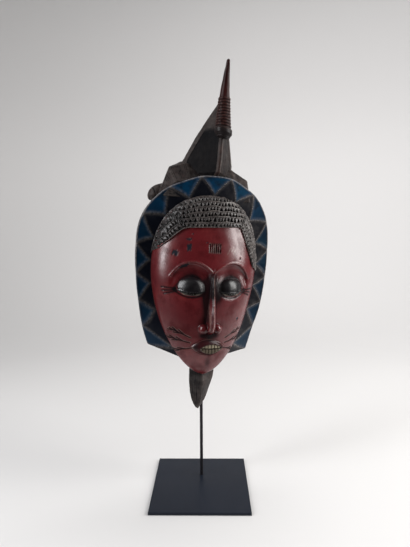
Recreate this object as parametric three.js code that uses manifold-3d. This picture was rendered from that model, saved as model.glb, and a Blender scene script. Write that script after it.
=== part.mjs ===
// Carved and painted wooden face mask of Guro style on a steel rod stand.
// Units are millimetres, +Z is up and the viewer stands on the -Y side.
// The origin is the centre of the base plate's underside.

import * as THREE from 'three';
import { LoftGeometry } from 'three/addons/geometries/LoftGeometry.js';
import { mergeVertices } from 'three/addons/utils/BufferGeometryUtils.js';
import Module from 'manifold-3d';

const wasm = await Module();
wasm.setup();

// Stand
const plateSide = 150;
const plateThick = 4;
const plateEase = 0.6;
const rodRadius = 2.5;
const rodFoot = { x: 0.8, y: 24.5 };
const touchGap = 0.3;
const crossBarLength = 44;
const crossBarHeight = 131.5;

// Pose of the mask on its rod: turned, leaning a little to its left, eyes 306 mm above the table
const maskTurn = THREE.MathUtils.degToRad(18);
const maskLean = THREE.MathUtils.degToRad(3.7);
const maskOrigin = new THREE.Vector3(5.25, 10, plateThick + 302.4);

// Face and hair: a dome over an egg-shaped outline, measured from a centre on the forehead.
// Inside the mask x is to the viewer's right, forward is towards the viewer and z is up.
const domeCentre = 43;
const faceHalfWidth = 84;
const hairTop = 108.5;
const chinDrop = 161;
const hairPower = 2.35;
const jawPower = 1.7;
const domeFront = 46;
const edgeAtSide = -3;
const edgeRiseTop = 28;
const edgeRiseChin = 23;
const domePower = 0.6;
const rimAtChin = -9;
const rimAtTop = -40;
const wall = 10;

// Hair: rows of carving over the top of the dome, above a bent hairline
const hairRaise = 3.6;
const hairStep = 1.6;
const rowPitch = 7;
const rowCount = 8;
const hairline = [[-88, 62.5], [-45, 103.4], [42, 108.8], [70, 48], [88, 38]];
const hairReach = { x: 98, z: 200 };

// Collar round the face: a flat band with sixteen corners, from its left foot over the top to its right
// foot; the edge between two corners swells out a little, more at the two shoulders
const collarCorners = [
  [-80.5, -80.2], [-91.5, -48.5], [-100, -8.5], [-105.5, 33.5],
  [-107.5, 77.5], [-101.3, 121.3], [-66.5, 162.5], [-23.5, 179.5],
  [23.5, 179.5], [66.5, 162], [100.8, 121.3], [107.8, 77.5],
  [106.3, 33.5], [101.7, -8.5], [93.3, -49], [83.3, -91],
];
const edgeSwell = { usual: 1, shoulder: 4, shoulderEdges: [5, 9] };
const collarForward = { side: -6, top: 43, chin: -9 };
const collarThick = 7;
const collarInset = { side: 0.9, jaw: 0.95, swingLeft: 0.41, swingRight: 0.345 };

// Eyes, brows, nose and mouth: round sizes of the type; the mouth's opening sits a little low and right
const eye = { x: 31, z: 17.5, halfLength: 24, halfHeight: 14, bulge: 11, slitDrop: 5 };
const socket = { x: 31, z: 26, halfWidth: 32, halfHeight: 29, depth: 8 };
const brow = { inner: [1.5, 40], bend: [38, 74], outer: [62, 32], half: 1.7, raise: 1.9 };
const noseLine = [
  { z: 44, half: 2.4, raise: 0.6 },
  { z: 28, half: 3.8, raise: 3.6 },
  { z: 14, half: 5, raise: 6.6 },
  { z: -8, half: 6.2, raise: 11.5 },
  { z: -34, half: 8, raise: 16 },
  { z: -46, half: 9, raise: 14.5 },
  { z: -51, half: 7.5, raise: 6.5 },
];
const noseWing = { x: 10.5, z: -43, radius: 6.5, forward: 43 };
const mouth = { x: 0.6, z: -72, halfLength: 26, halfHeight: 12.6, bulge: 9 };
const mouthOpening = { x: 4.8, z: -74.8, halfLength: 17.8, halfHeight: 5.5 };
const toothCount = 6;
const foreheadMarks = { count: 6, pitch: 3, z: 75, height: 12, width: 1.3, depth: 1.4 };

// Beard: a prow that hangs from the chin
const beardLine = [
  { z: -106, half: 18, front: 12, side: 6, back: -7 },
  { z: -119, half: 18, front: 18, side: 8, back: -7 },
  { z: -128, half: 17.8, front: 25.5, side: 9, back: -7 },
  { z: -138, half: 17, front: 23, side: 7, back: -7 },
  { z: -152, half: 14.5, front: 19, side: 5, back: -7 },
  { z: -164, half: 11, front: 15, side: 4, back: -6 },
  { z: -173, half: 6.5, front: 11, side: 2, back: -4 },
  { z: -179, half: 2.5, front: 5, side: 1, back: -1 },
];
const beardExtraRight = { width: 4, foot: -150, top: -112 };

// Coiffure above and behind the collar
const block = [
  { forward: 18, half: 58, corner: 166, innerHalf: 37, top: 173 },
  { forward: -5, half: 64, corner: 188, innerHalf: 38, top: 199 },
  { forward: -22, half: 60.5, corner: 192, innerHalf: 41, top: 204.5 },
  { forward: -46, half: 55, corner: 183, innerHalf: 36, top: 194 },
];
const blockFoot = 148;
const blockTilt = 4;
const blockSpread = { left: 16, right: 4 };
const braid = { half: 87, radius: 14, forward: -46, endHeight: 152.5, topHeight: 166, endPower: 13 };
const crest = [
  { z: 150, half: 43, front: 16, back: -30 },
  { z: 179, half: 42.5, front: 28, back: -26 },
  { z: 186, half: 42, front: 41, back: -24 },
  { z: 206, half: 41, front: 45, back: -18 },
  { z: 240, half: 27, front: 47, back: 3 },
  { z: 262, half: 16, front: 46, back: 17 },
  { z: 284, half: 4.5, front: 44, back: 34 },
];
const crestRidge = 2.2;

// Horn over the crest's ridge: a flared lip, rings, and a smooth point that bends forward
const horn = { foot: 233, tip: 338.5, straightest: 278, forward: 45.5, bend: 0.0024 };
const lip = { radius: 12.8, edge: 239, top: 246, tilt: 0.14, tiltFade: 22 };
const rings = { count: 10, first: 249.5, pitch: 4.1, raise: 1.1 };
const hornTaper = { ringFoot: 10.2, ringTop: 7.6, tip: 2.4 };

// Point of the mask from its x, forward and height
function place(x, forward, z) {
  return new THREE.Vector3(x, -forward, z);
}

// Smooth step from 0 at low to 1 at high
function ease(value, low, high) {
  return THREE.MathUtils.smoothstep(value, low, high);
}

// Distance from the dome's centre to the face outline; angle 0 points up
function faceRadius(angle) {
  const upper = Math.cos(angle) > 0;
  const height = upper ? hairTop : chinDrop;
  const power = upper ? hairPower : jawPower;
  const across = Math.abs(Math.sin(angle) / faceHalfWidth) ** power;
  const along = Math.abs(Math.cos(angle) / height) ** power;
  return (across + along) ** (-1 / power);
}

// How far forward the face outline lies: back at the sides, forward at the top and the chin
function edgeForward(angle) {
  const c = Math.cos(angle);
  return edgeAtSide + (c > 0 ? edgeRiseTop * c ** 4 : edgeRiseChin * c ** 6);
}

// Dome: the outline's height plus a bulge of (1 - share squared) to the dome's power
function domeForward(share, angle) {
  const edge = edgeForward(angle);
  const bulge = Math.max(0, 1 - share * share) ** domePower;
  return edge + (domeFront - edge) * bulge;
}

// Eye sockets: two shallow elliptical hollows
function socketDepth(x, z) {
  const u = (Math.abs(x) - socket.x) / socket.halfWidth;
  const w = (z - socket.z) / socket.halfHeight;
  return socket.depth * Math.max(0, 1 - u * u - w * w) ** 2;
}

function faceForward(x, z) {
  const angle = Math.atan2(x, z - domeCentre);
  const share = Math.min(1, Math.hypot(x, z - domeCentre) / faceRadius(angle));
  return domeForward(share, angle) - socketDepth(x, z);
}

// Rear rim of the mask: upright at the jaw, further back towards the top
function rimForward(z) {
  return THREE.MathUtils.mapLinear(ease(z, -20, 150), 0, 1, rimAtChin, rimAtTop);
}

// Solid skinned over rings of points, each ring turned so that the faces point outwards
function loft(sections) {
  const [first, second] = sections;
  const facing = new THREE.Vector3();
  first.forEach((point, i) => facing.add(point.clone().cross(first[(i + 1) % first.length])));
  const ahead = middle(second).sub(middle(first));
  const rings = facing.dot(ahead) < 0 ? sections.map((ring) => [...ring].reverse()) : sections;
  return solid(new LoftGeometry(rings, { closed: true, capStart: true, capEnd: true }));
}

function middle(ring) {
  const sum = new THREE.Vector3();
  ring.forEach((point) => sum.add(point));
  return sum.divideScalar(ring.length);
}

// Closed solid from any geometry: its shared corners are merged and its faces turned outwards
function solid(geometry) {
  const bare = new THREE.BufferGeometry();
  bare.setAttribute('position', geometry.getAttribute('position'));
  bare.setIndex(geometry.getIndex());
  const merged = mergeVertices(bare, 1e-4);
  const position = merged.getAttribute('position');
  const index = Array.from(merged.getIndex().array);
  const triangles = [];
  let volume = 0;
  for (let i = 0; i < index.length; i += 3) {
    const [a, b, c] = index.slice(i, i + 3);
    if (a === b || b === c || c === a) continue;
    const corners = [a, b, c].map((k) => new THREE.Vector3().fromBufferAttribute(position, k));
    volume += corners[0].dot(corners[1].clone().cross(corners[2]));
    triangles.push([a, b, c]);
  }
  const ordered = volume < 0 ? triangles.map(([a, b, c]) => [a, c, b]) : triangles;
  return new wasm.Manifold(new wasm.Mesh({
    numProp: 3,
    vertProperties: new Float32Array(position.array),
    triVerts: new Uint32Array(ordered.flat()),
  }));
}

function toGeometry(body) {
  const mesh = body.getMesh();
  const geometry = new THREE.BufferGeometry();
  geometry.setAttribute('position', new THREE.BufferAttribute(new Float32Array(mesh.vertProperties), 3));
  geometry.setIndex(new THREE.BufferAttribute(new Uint32Array(mesh.triVerts), 1));
  geometry.computeVertexNormals();
  return geometry;
}

// Ball squashed to the three half-axes and set at a point of the mask
function ellipsoid(halfX, halfForward, halfZ, centre, around = 16, rows = 10) {
  const geometry = new THREE.SphereGeometry(1, around, rows);
  geometry.scale(halfX, halfForward, halfZ);
  geometry.translate(centre.x, centre.y, centre.z);
  return solid(geometry);
}

function bar(width, depth, height, centre) {
  const geometry = new THREE.BoxGeometry(width, depth, height);
  geometry.translate(centre.x, centre.y, centre.z);
  return solid(geometry);
}

// Shell of the head: rings from the forehead out to the outline, then back to the rim
function headSolid() {
  const around = 52;
  const ringCount = 15;
  const sections = [];
  for (let i = 0; i <= ringCount; i += 1) {
    const share = Math.max(0.03, Math.sin((Math.PI / 2) * (i / ringCount)));
    sections.push(domeRing(around, share, (x, z, angle) => domeForward(share, angle) - socketDepth(x, z)));
  }
  sections.push(domeRing(around, 1, (x, z) => rimForward(z)));
  return loft(sections);
}

function domeRing(around, share, forward, inset = 0) {
  const ring = [];
  for (let j = 0; j < around; j += 1) {
    const angle = (2 * Math.PI * j) / around;
    const radius = share * (faceRadius(angle) - inset);
    const x = radius * Math.sin(angle);
    const z = domeCentre + radius * Math.cos(angle);
    ring.push(place(x, forward(x, z, angle), z));
  }
  return ring;
}

// Hollow behind the face, the dome again one wall thickness inside, open at the back
function hollowSolid() {
  const around = 32;
  const ringCount = 7;
  const openPast = 25;
  const sections = [];
  for (let i = 0; i <= ringCount; i += 1) {
    const share = Math.max(0.04, Math.sin((Math.PI / 2) * (i / ringCount)));
    const inner = (x, z, angle) => Math.max(rimForward(z) + 4, domeForward(share, angle) - wall - 4);
    sections.push(domeRing(around, share, inner, wall));
  }
  sections.push(domeRing(around, 1, (x, z) => rimForward(z) - openPast, wall));
  return loft(sections);
}

// Hair: the dome raised in stepped rows, kept only above the hairline
function hairSolid() {
  const around = 48;
  const sections = [];
  for (let row = rowCount; row >= 0; row -= 1) {
    const share = 1 - (row * rowPitch) / hairTop;
    const raisedAt = (x, z, angle) => domeForward(share, angle) + hairRaise;
    const sunkAt = (x, z, angle) => domeForward(share, angle) + hairRaise - hairStep;
    if (row < rowCount) sections.push(domeRing(around, share - 0.008, sunkAt, -hairRaise / 2));
    sections.push(domeRing(around, share, raisedAt, -hairRaise / 2));
  }
  sections.push(domeRing(around, 1, (x, z, angle) => edgeForward(angle) - 12, -hairRaise / 2));
  const outline = new THREE.Shape([
    ...hairline.map(([x, z]) => new THREE.Vector2(x, z)),
    new THREE.Vector2(hairReach.x, hairReach.z),
    new THREE.Vector2(-hairReach.x, hairReach.z),
  ]);
  const prism = new THREE.ExtrudeGeometry(outline, { depth: 120, bevelEnabled: false });
  prism.rotateX(Math.PI / 2);
  prism.translate(0, 40, 0);
  return loft(sections).intersect(solid(prism));
}

// Collar: a band from the face outline out to the corners and to a swollen point between each two
function collarSolid() {
  const stations = [collarCorners[0]];
  for (let i = 0; i < collarCorners.length - 1; i += 1) {
    const [x1, z1] = collarCorners[i];
    const [x2, z2] = collarCorners[i + 1];
    const length = Math.hypot(x2 - x1, z2 - z1);
    const swell = edgeSwell.shoulderEdges.includes(i) ? edgeSwell.shoulder : edgeSwell.usual;
    const outX = (-swell * (z2 - z1)) / length;
    const outZ = (swell * (x2 - x1)) / length;
    stations.push([(x1 + x2) / 2 + outX, (z1 + z2) / 2 + outZ]);
    stations.push([x2, z2]);
  }
  return loft(stations.map(([x, z]) => collarSection(x, z)));
}

// One cross-section of the collar, through the outer point x, z
function collarSection(x, z) {
  const angle = Math.atan2(x, z - domeCentre);
  const away = Math.abs(angle);
  const nearJaw = ease(away, 2, 2.57);
  const swing = angle < 0 ? collarInset.swingLeft : collarInset.swingRight;
  const innerAngle = Math.sign(angle) * (away + swing * nearJaw);
  const radius = THREE.MathUtils.lerp(collarInset.side, collarInset.jaw, nearJaw) * faceRadius(innerAngle);
  const innerX = radius * Math.sin(innerAngle);
  const innerZ = domeCentre + radius * Math.cos(innerAngle);
  const inner = edgeForward(innerAngle) - 1;
  const outer = collarForward.side + collarForward.top * Math.max(0, Math.cos(angle)) ** 4
    + collarForward.chin * nearJaw;
  return [
    place(innerX, inner, innerZ),
    place(x, outer, z),
    place(x, outer - collarThick, z),
    place(innerX, inner - collarThick - 3, innerZ),
  ];
}

// Raised brow: a thin ridge carried along a bent line on the face
function browSolid(side) {
  const line = new THREE.QuadraticBezierCurve(
    new THREE.Vector2(...brow.inner),
    new THREE.Vector2(...brow.bend),
    new THREE.Vector2(...brow.outer),
  );
  const steps = 16;
  const sections = [];
  for (let i = 0; i <= steps; i += 1) {
    const point = line.getPoint(i / steps);
    const along = line.getTangent(i / steps);
    const raise = brow.raise * (1 - 0.6 * (i / steps) ** 2);
    const level = domeAt(point.x, point.y);
    const profile = [[-1.2, -6], [-0.8, raise * 0.6], [0, raise], [0.8, raise * 0.6], [1.2, -6]];
    sections.push(profile.map(([across, up]) => place(
      side * (point.x - along.y * across * brow.half),
      level + up,
      point.y + along.x * across * brow.half,
    )));
  }
  return loft(sections);
}

// Dome alone, without the sockets
function domeAt(x, z) {
  return faceForward(x, z) + socketDepth(x, z);
}

// Bulging lids with a slit between them
function eyeSolid(side) {
  const forward = domeAt(eye.x, eye.z) - eye.bulge + 3;
  const ball = ellipsoid(eye.halfLength, eye.bulge, eye.halfHeight, place(side * eye.x, forward, eye.z));
  const slit = ellipsoid(
    eye.halfLength * 0.85,
    eye.bulge,
    1.3,
    place(side * eye.x, forward + 3, eye.z - eye.slitDrop),
    12,
    6,
  );
  return ball.subtract(slit);
}

function noseSolid() {
  const sections = noseLine.map(({ z, half, raise }) => {
    const level = domeAt(0, z);
    return [
      place(-half, level - 9, z),
      place(-half, level - 1, z),
      place(-half * 0.45, level + raise * 0.75, z),
      place(0, level + raise, z),
      place(half * 0.45, level + raise * 0.75, z),
      place(half, level - 1, z),
      place(half, level - 9, z),
    ];
  });
  let nose = loft(sections);
  for (const side of [-1, 1]) {
    const centre = place(side * noseWing.x, noseWing.forward, noseWing.z);
    nose = nose.add(ellipsoid(noseWing.radius, noseWing.radius, noseWing.radius, centre, 12, 8));
  }
  return nose;
}

// Lips round an open slot, with two rows of teeth
function mouthSolid() {
  const level = domeAt(0, mouth.z);
  const lipCentre = place(mouth.x, level - 2, mouth.z);
  const openCentre = place(mouthOpening.x, level + 5, mouthOpening.z);
  const lips = ellipsoid(mouth.halfLength, mouth.bulge, mouth.halfHeight, lipCentre, 20, 10);
  const gap = ellipsoid(mouthOpening.halfLength, mouth.bulge, mouthOpening.halfHeight, openCentre, 16, 8);
  let shape = lips.subtract(gap);
  const pitch = (1.7 * mouthOpening.halfLength) / toothCount;
  for (let i = 0; i < toothCount; i += 1) {
    const x = mouthOpening.x + (i - (toothCount - 1) / 2) * pitch;
    for (const side of [-1, 1]) {
      const centre = place(x, level + 1, mouthOpening.z + side * mouthOpening.halfHeight * 0.5);
      shape = shape.add(bar(pitch * 0.8, 7, mouthOpening.halfHeight * 0.85, centre));
    }
  }
  return shape;
}

// Short upright cuts in the middle of the forehead
function foreheadCuts() {
  const { count, pitch, z, height, width, depth } = foreheadMarks;
  const cuts = [];
  for (let i = 0; i < count; i += 1) {
    const x = (i - (count - 1) / 2) * pitch;
    cuts.push(bar(width, 6, height, place(x, domeAt(x, z) + 3 - depth, z)));
  }
  return cuts;
}

// Beard: five-sided prow sections, a little wider on the viewer's right under the chin
function beardSolid() {
  return loft(beardLine.map(({ z, half, front, side, back }) => {
    const right = half + beardExtraRight.width * ease(z, beardExtraRight.foot, beardExtraRight.top);
    const cheek = (side + front) / 2 + 1;
    return [
      place(-half * 0.8, back, z),
      place(-half, side, z),
      place(-half * 0.5, cheek, z),
      place(0, front, z),
      place(right * 0.5, cheek, z),
      place(right, side, z),
      place(right * 0.8, back, z),
    ];
  }));
}

// Block of hair on top of the head, sloping down to the front and by a corner at each side to its foot
function blockSolid() {
  return loft(block.map(({ forward, half, corner, innerHalf, top }) => [
    place(-half - blockSpread.left, forward, blockFoot),
    place(-half, forward, corner + blockTilt),
    place(-innerHalf, forward, top + blockTilt / 2),
    place(innerHalf, forward, top - blockTilt / 2),
    place(half, forward, corner - blockTilt),
    place(half + blockSpread.right, forward, blockFoot),
  ]));
}

// Braid round the back of the head: a round tube that arches from side to side, with domed ends
function braidSolid() {
  const around = 12;
  const steps = 22;
  const sections = [];
  for (let i = 0; i <= steps; i += 1) {
    const swing = -Math.cos((Math.PI * i) / steps);
    const x = swing * braid.half;
    const arch = 1 - Math.abs(swing) ** 2.5;
    const height = THREE.MathUtils.lerp(braid.endHeight, braid.topHeight, arch);
    const radius = braid.radius * Math.max(0.12, Math.sqrt(1 - Math.abs(swing) ** braid.endPower));
    const ring = [];
    for (let j = 0; j < around; j += 1) {
      const turn = (2 * Math.PI * j) / around;
      ring.push(place(x, braid.forward + radius * Math.cos(turn), height + radius * Math.sin(turn)));
    }
    sections.push(ring);
  }
  return loft(sections);
}

// Crest: a wedge with a narrow front ridge, two broad sides and a back that leans forward
function crestSolid() {
  return loft(crest.map(({ z, half, front, back }) => [
    place(-crestRidge, front - 1, z),
    place(0, front, z),
    place(crestRidge, front - 1, z),
    place(half * 0.5, THREE.MathUtils.lerp(front, back, 0.46), z),
    place(half, back, z),
    place(half * 0.85, back - 3, z),
    place(-half * 0.85, back - 3, z),
    place(-half, back, z),
    place(-half * 0.5, THREE.MathUtils.lerp(front, back, 0.46), z),
  ]));
}

// Radius of the horn at a height, as pairs of height and radius from its foot to its tip
function hornProfile() {
  const profile = [
    [horn.foot, lip.radius * 0.72],
    [lip.edge - 2.5, lip.radius * 0.95],
    [lip.edge, lip.radius],
    [lip.top - 2, lip.radius * 0.98],
    [lip.top, lip.radius * 0.86],
  ];
  for (let i = 0; i < rings.count; i += 1) {
    const radius = THREE.MathUtils.lerp(hornTaper.ringFoot, hornTaper.ringTop, i / (rings.count - 1));
    const z = rings.first + i * rings.pitch;
    profile.push([z - rings.pitch * 0.3, radius]);
    profile.push([z, radius + rings.raise]);
    profile.push([z + rings.pitch * 0.4, radius + 0.8]);
  }
  const ringEnd = rings.first + rings.count * rings.pitch;
  const pointSteps = 6;
  for (let i = 0; i <= pointSteps; i += 1) {
    const share = i / pointSteps;
    const radius = THREE.MathUtils.lerp(hornTaper.ringTop - 0.3, hornTaper.tip, share ** 1.15);
    profile.push([THREE.MathUtils.lerp(ringEnd, horn.tip - 2, share), radius]);
  }
  profile.push([horn.tip, hornTaper.tip * 0.45]);
  return profile;
}

function hornSolid() {
  const around = 14;
  return loft(hornProfile().map(([z, radius]) => {
    const forward = horn.forward + horn.bend * (z - horn.straightest) ** 2;
    const tilt = lip.tilt * (1 - ease(z, lip.top - 4, lip.top + lip.tiltFade));
    const ring = [];
    for (let j = 0; j < around; j += 1) {
      const turn = (2 * Math.PI * j) / around;
      const x = radius * Math.sin(turn);
      ring.push(place(x, forward + radius * Math.cos(turn), z - tilt * x));
    }
    return ring;
  }));
}

// The whole carving, one piece of wood
function maskSolid() {
  let front = headSolid().add(collarSolid()).add(hairSolid()).add(beardSolid());
  for (const side of [-1, 1]) {
    front = front.add(browSolid(side)).add(eyeSolid(side));
  }
  front = front.add(noseSolid()).add(mouthSolid());
  for (const cut of foreheadCuts()) front = front.subtract(cut);
  front = front.subtract(hollowSolid());
  return front.add(blockSolid()).add(braidSolid()).add(crestSolid()).add(hornSolid());
}

// Steel rod with a cross bar under the roof of the hollow
function rodSolid(maskFrame) {
  const barCentre = place(0, 0, crossBarHeight).applyMatrix4(maskFrame);
  const rodTop = barCentre.z;
  const rodStart = plateThick + touchGap;
  const rod = new THREE.CylinderGeometry(rodRadius, rodRadius, rodTop - rodStart, 24);
  rod.rotateX(Math.PI / 2);
  rod.translate(rodFoot.x, rodFoot.y, (rodTop + rodStart) / 2);
  const crossBar = new THREE.CylinderGeometry(rodRadius, rodRadius, crossBarLength, 24);
  crossBar.rotateZ(Math.PI / 2);
  crossBar.rotateY(maskLean);
  crossBar.rotateZ(maskTurn);
  crossBar.translate(rodFoot.x, rodFoot.y, rodTop);
  return solid(rod).add(solid(crossBar));
}

// Square plate with eased edges
function plateGeometry() {
  const half = plateSide / 2 - plateEase;
  const outline = new THREE.Shape([
    new THREE.Vector2(-half, -half),
    new THREE.Vector2(half, -half),
    new THREE.Vector2(half, half),
    new THREE.Vector2(-half, half),
  ]);
  const geometry = new THREE.ExtrudeGeometry(outline, {
    depth: plateThick - 2 * plateEase,
    bevelEnabled: true,
    bevelThickness: plateEase,
    bevelSize: plateEase,
    bevelSegments: 2,
  });
  geometry.translate(0, 0, plateEase);
  return toGeometry(solid(geometry));
}

const group = new THREE.Group();

const paintedWood = new THREE.MeshStandardMaterial({ color: 0x7e1f26, roughness: 0.42, metalness: 0 });
const blackSteel = new THREE.MeshStandardMaterial({ color: 0x23262d, roughness: 0.5, metalness: 0.35 });

const maskGroup = new THREE.Group();
maskGroup.position.copy(maskOrigin);
maskGroup.rotation.set(0, maskLean, maskTurn, 'ZYX');
const mask = new THREE.Mesh(toGeometry(maskSolid()), paintedWood);
mask.name = 'mask';
maskGroup.add(mask);
maskGroup.updateMatrixWorld(true);
group.add(maskGroup);

const rodMesh = new THREE.Mesh(toGeometry(rodSolid(maskGroup.matrixWorld)), blackSteel);
rodMesh.name = 'stand_rod';
group.add(rodMesh);

const plateMesh = new THREE.Mesh(plateGeometry(), blackSteel);
plateMesh.name = 'stand_plate';
group.add(plateMesh);

export default group;
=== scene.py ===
import math

import bpy
import numpy as np
from mathutils import Matrix


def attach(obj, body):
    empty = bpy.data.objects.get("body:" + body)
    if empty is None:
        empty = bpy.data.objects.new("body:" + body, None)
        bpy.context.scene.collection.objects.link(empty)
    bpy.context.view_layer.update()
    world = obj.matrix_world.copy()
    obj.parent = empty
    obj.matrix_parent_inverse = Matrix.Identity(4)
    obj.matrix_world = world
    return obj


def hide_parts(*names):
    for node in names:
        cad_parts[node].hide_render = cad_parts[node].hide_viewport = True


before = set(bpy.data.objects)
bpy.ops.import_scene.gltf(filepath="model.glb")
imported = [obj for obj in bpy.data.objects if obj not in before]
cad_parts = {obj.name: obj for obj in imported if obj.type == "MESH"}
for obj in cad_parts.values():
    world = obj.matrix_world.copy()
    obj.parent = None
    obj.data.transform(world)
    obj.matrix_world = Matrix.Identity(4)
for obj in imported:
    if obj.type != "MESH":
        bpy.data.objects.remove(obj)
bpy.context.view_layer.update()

# Carved and painted face mask on a steel rod and plate.
# Shapes are worked out in the mask's own millimetres: x to the viewer's right, forward, and up.

maskPose = {
    "turn": 18.0,                    # degrees round the upright, towards the viewer's right
    "lean": 3.7,                     # degrees over to the viewer's right
    "origin": (5.25, 10.0, 306.4),   # millimetres in the row's frame
}

head = {
    "centre": 43.0,                  # height of the dome's middle, on the forehead
    "halfWidth": 84.0,
    "top": 108.5,
    "chin": 161.0,
    "topPower": 2.35,
    "jawPower": 1.7,
    "front": 46.0,
    "edgeSide": -3.0,
    "edgeTop": 28.0,
    "edgeChin": 23.0,
    "bulge": 0.6,
    "rimChin": -9.0,
    "rimTop": -40.0,
    "wall": 10.0,
}


# The value kept between 0 and 1.
def unit(value):
    return np.clip(value, 0, 1)


# Smooth step: 0 below low, 1 above high, 3t^2 - 2t^3 between.
def smooth(value, low, high):
    t = unit((value - low) / (high - low))
    return t * t * (3 - 2 * t)


# The smooth step turned over: 1 below low, 0 above high.
def fall(value, low, high):
    return 1 - smooth(value, low, high)


# Window: a smooth step up over the first span times one down over the second.
def window(value, rising, falling):
    return smooth(value, *rising) * fall(value, *falling)


# Bell round zero: exp(-(value / width)^2).
def bell(value, width):
    return np.exp(-(value / width) ** 2)


# Straight blend: a + (b - a) * share.
def mix(a, b, share):
    return a + (b - a) * share


# Soft maximum of two surfaces: the larger, plus a small fillet where they are closer than reach.
def softMax(a, b, reach):
    near = unit(1 - np.abs(a - b) / reach)
    return np.maximum(a, b) + reach / 4 * near * near


# Gentle unevenness: the sum of a few sine waves of about the given length in seeded directions.
def waver(x, y, length, seed, waves=7):
    random = np.random.default_rng(seed)
    total = np.zeros(np.broadcast(x, y).shape)
    for direction, phase, stretch in random.uniform((0, 0, 0.65), (2 * np.pi, 2 * np.pi, 1.5), (waves, 3)):
        along = x * np.cos(direction) + y * np.sin(direction)
        total += np.sin(2 * np.pi * along / (length * stretch) + phase)
    return total / math.sqrt(waves)


# Mask point to row point: lean about Y, turn about Z, shift to the origin, millimetres to metres.
def toRow(points):
    lean = math.radians(maskPose["lean"])
    turn = math.radians(maskPose["turn"])
    x, y, up = points[..., 0], -points[..., 1], points[..., 2]
    across = x * math.cos(lean) + up * math.sin(lean)
    height = up * math.cos(lean) - x * math.sin(lean)
    rowX = across * math.cos(turn) - y * math.sin(turn)
    rowY = across * math.sin(turn) + y * math.cos(turn)
    return (np.stack([rowX, rowY, height], -1) + np.array(maskPose["origin"])) / 1000


# Distance from the dome's middle to the face outline: two superellipse halves, angle 0 pointing up.
def outlineRadius(angle):
    rising = np.cos(angle) > 0
    height = np.where(rising, head["top"], head["chin"])
    power = np.where(rising, head["topPower"], head["jawPower"])
    across = np.abs(np.sin(angle) / head["halfWidth"]) ** power
    along = np.abs(np.cos(angle) / height) ** power
    return (across + along) ** (-1 / power)


# How far forward the outline lies: back at the sides, forward at the top and at the chin.
def edgeForward(angle):
    c = np.cos(angle)
    return head["edgeSide"] + np.where(c > 0, head["edgeTop"] * c ** 4, head["edgeChin"] * c ** 6)


# Angle from straight up and distance, seen from the dome's middle.
def polar(x, z):
    return np.arctan2(x, z - head["centre"]), np.hypot(x, z - head["centre"])


# x and height on a ray from a centre: sine and cosine of its angle from straight up, times the radius.
def onRay(centre, angle, radius):
    return radius * np.sin(angle), centre + radius * np.cos(angle)


# Dome over the outline: edge + (front - edge) * (1 - share^2)^bulge, share being the part of the radius.
def domeOf(share, angle):
    return mix(edgeForward(angle), head["front"], unit(1 - share * share) ** head["bulge"])


# The dome at x and height: distance over the outline's radius is the share, at most 1.
def domeAt(x, z):
    angle, radius = polar(x, z)
    return domeOf(np.minimum(radius / outlineRadius(angle), 1), angle)


# Rear rim: upright at the jaw, further back towards the top.
def rimAt(z):
    return mix(head["rimChin"], head["rimTop"], smooth(z, -20, 150))


# Distance from points to the nearest of some straight strokes (x1, z1, x2, z2).
def strokeDistance(x, z, strokes):
    nearest = np.full(np.shape(x), 1e3)
    for x1, z1, x2, z2 in strokes:
        lengthX, lengthZ = x2 - x1, z2 - z1
        part = ((x - x1) * lengthX + (z - z1) * lengthZ) / (lengthX ** 2 + lengthZ ** 2)
        part = unit(part)
        nearest = np.minimum(nearest, np.hypot(x - x1 - part * lengthX, z - z1 - part * lengthZ))
    return nearest


# Repeated groove: 1 at each multiple of pitch, falling to 0 at the given half width.
def grooves(value, pitch, half):
    off = np.abs((value / pitch + 0.5) % 1 - 0.5) * pitch
    return fall(off, 0, half)


# Outward normals of a ring grid, from the cross product of its two directions.
def gridNormals(rings):
    around = np.roll(rings, -1, axis=1) - np.roll(rings, 1, axis=1)
    along = np.gradient(rings, axis=0)
    normal = np.cross(around, along)
    normal /= np.linalg.norm(normal, axis=-1, keepdims=True) + 1e-9
    outward = np.sum(normal * (rings - rings.mean(axis=1, keepdims=True)))
    return normal if outward > 0 else -normal


# Grid of points from x, forward and height, each stretched to the same shape.
def gridOf(x, forward, z):
    return np.stack(np.broadcast_arrays(x, forward, z), -1)


# Table of sections read between its rows: every further column at the given places of the first.
def readRows(rows, at):
    return [np.interp(at, rows[:, 0], column) for column in rows[:, 1:].T]


# Walk round a polygon as weights of its corners: a number of steps on each edge, with the corners
# rounded by a running mean over a few steps. Each set of corner coordinates is walked alike.
def walk(steps, soften, *corners):
    count = len(steps)
    blocks = []
    for edge, number in enumerate(steps):
        share = np.arange(number) / number
        block = np.zeros((number, count))
        block[:, edge] = 1 - share
        block[:, (edge + 1) % count] += share
        blocks.append(block)
    weights = np.concatenate(blocks)
    shifts = range(-soften, soften + 1)
    weights = sum(np.roll(weights, shift, axis=0) for shift in shifts) / len(shifts)
    return [values @ weights.T for values in corners]


# Mask on a mesh: one number for each point.
def addMask(mesh, name, values):
    attribute = mesh.attributes.new(name, "FLOAT", "POINT")
    attribute.data.foreach_set("value", values.astype(np.float32))


# Object that holds a mesh, a lamp or a camera, linked into the scene.
def addObject(name, data):
    added = bpy.data.objects.new(name, data)
    bpy.context.scene.collection.objects.link(added)
    return added


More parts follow.
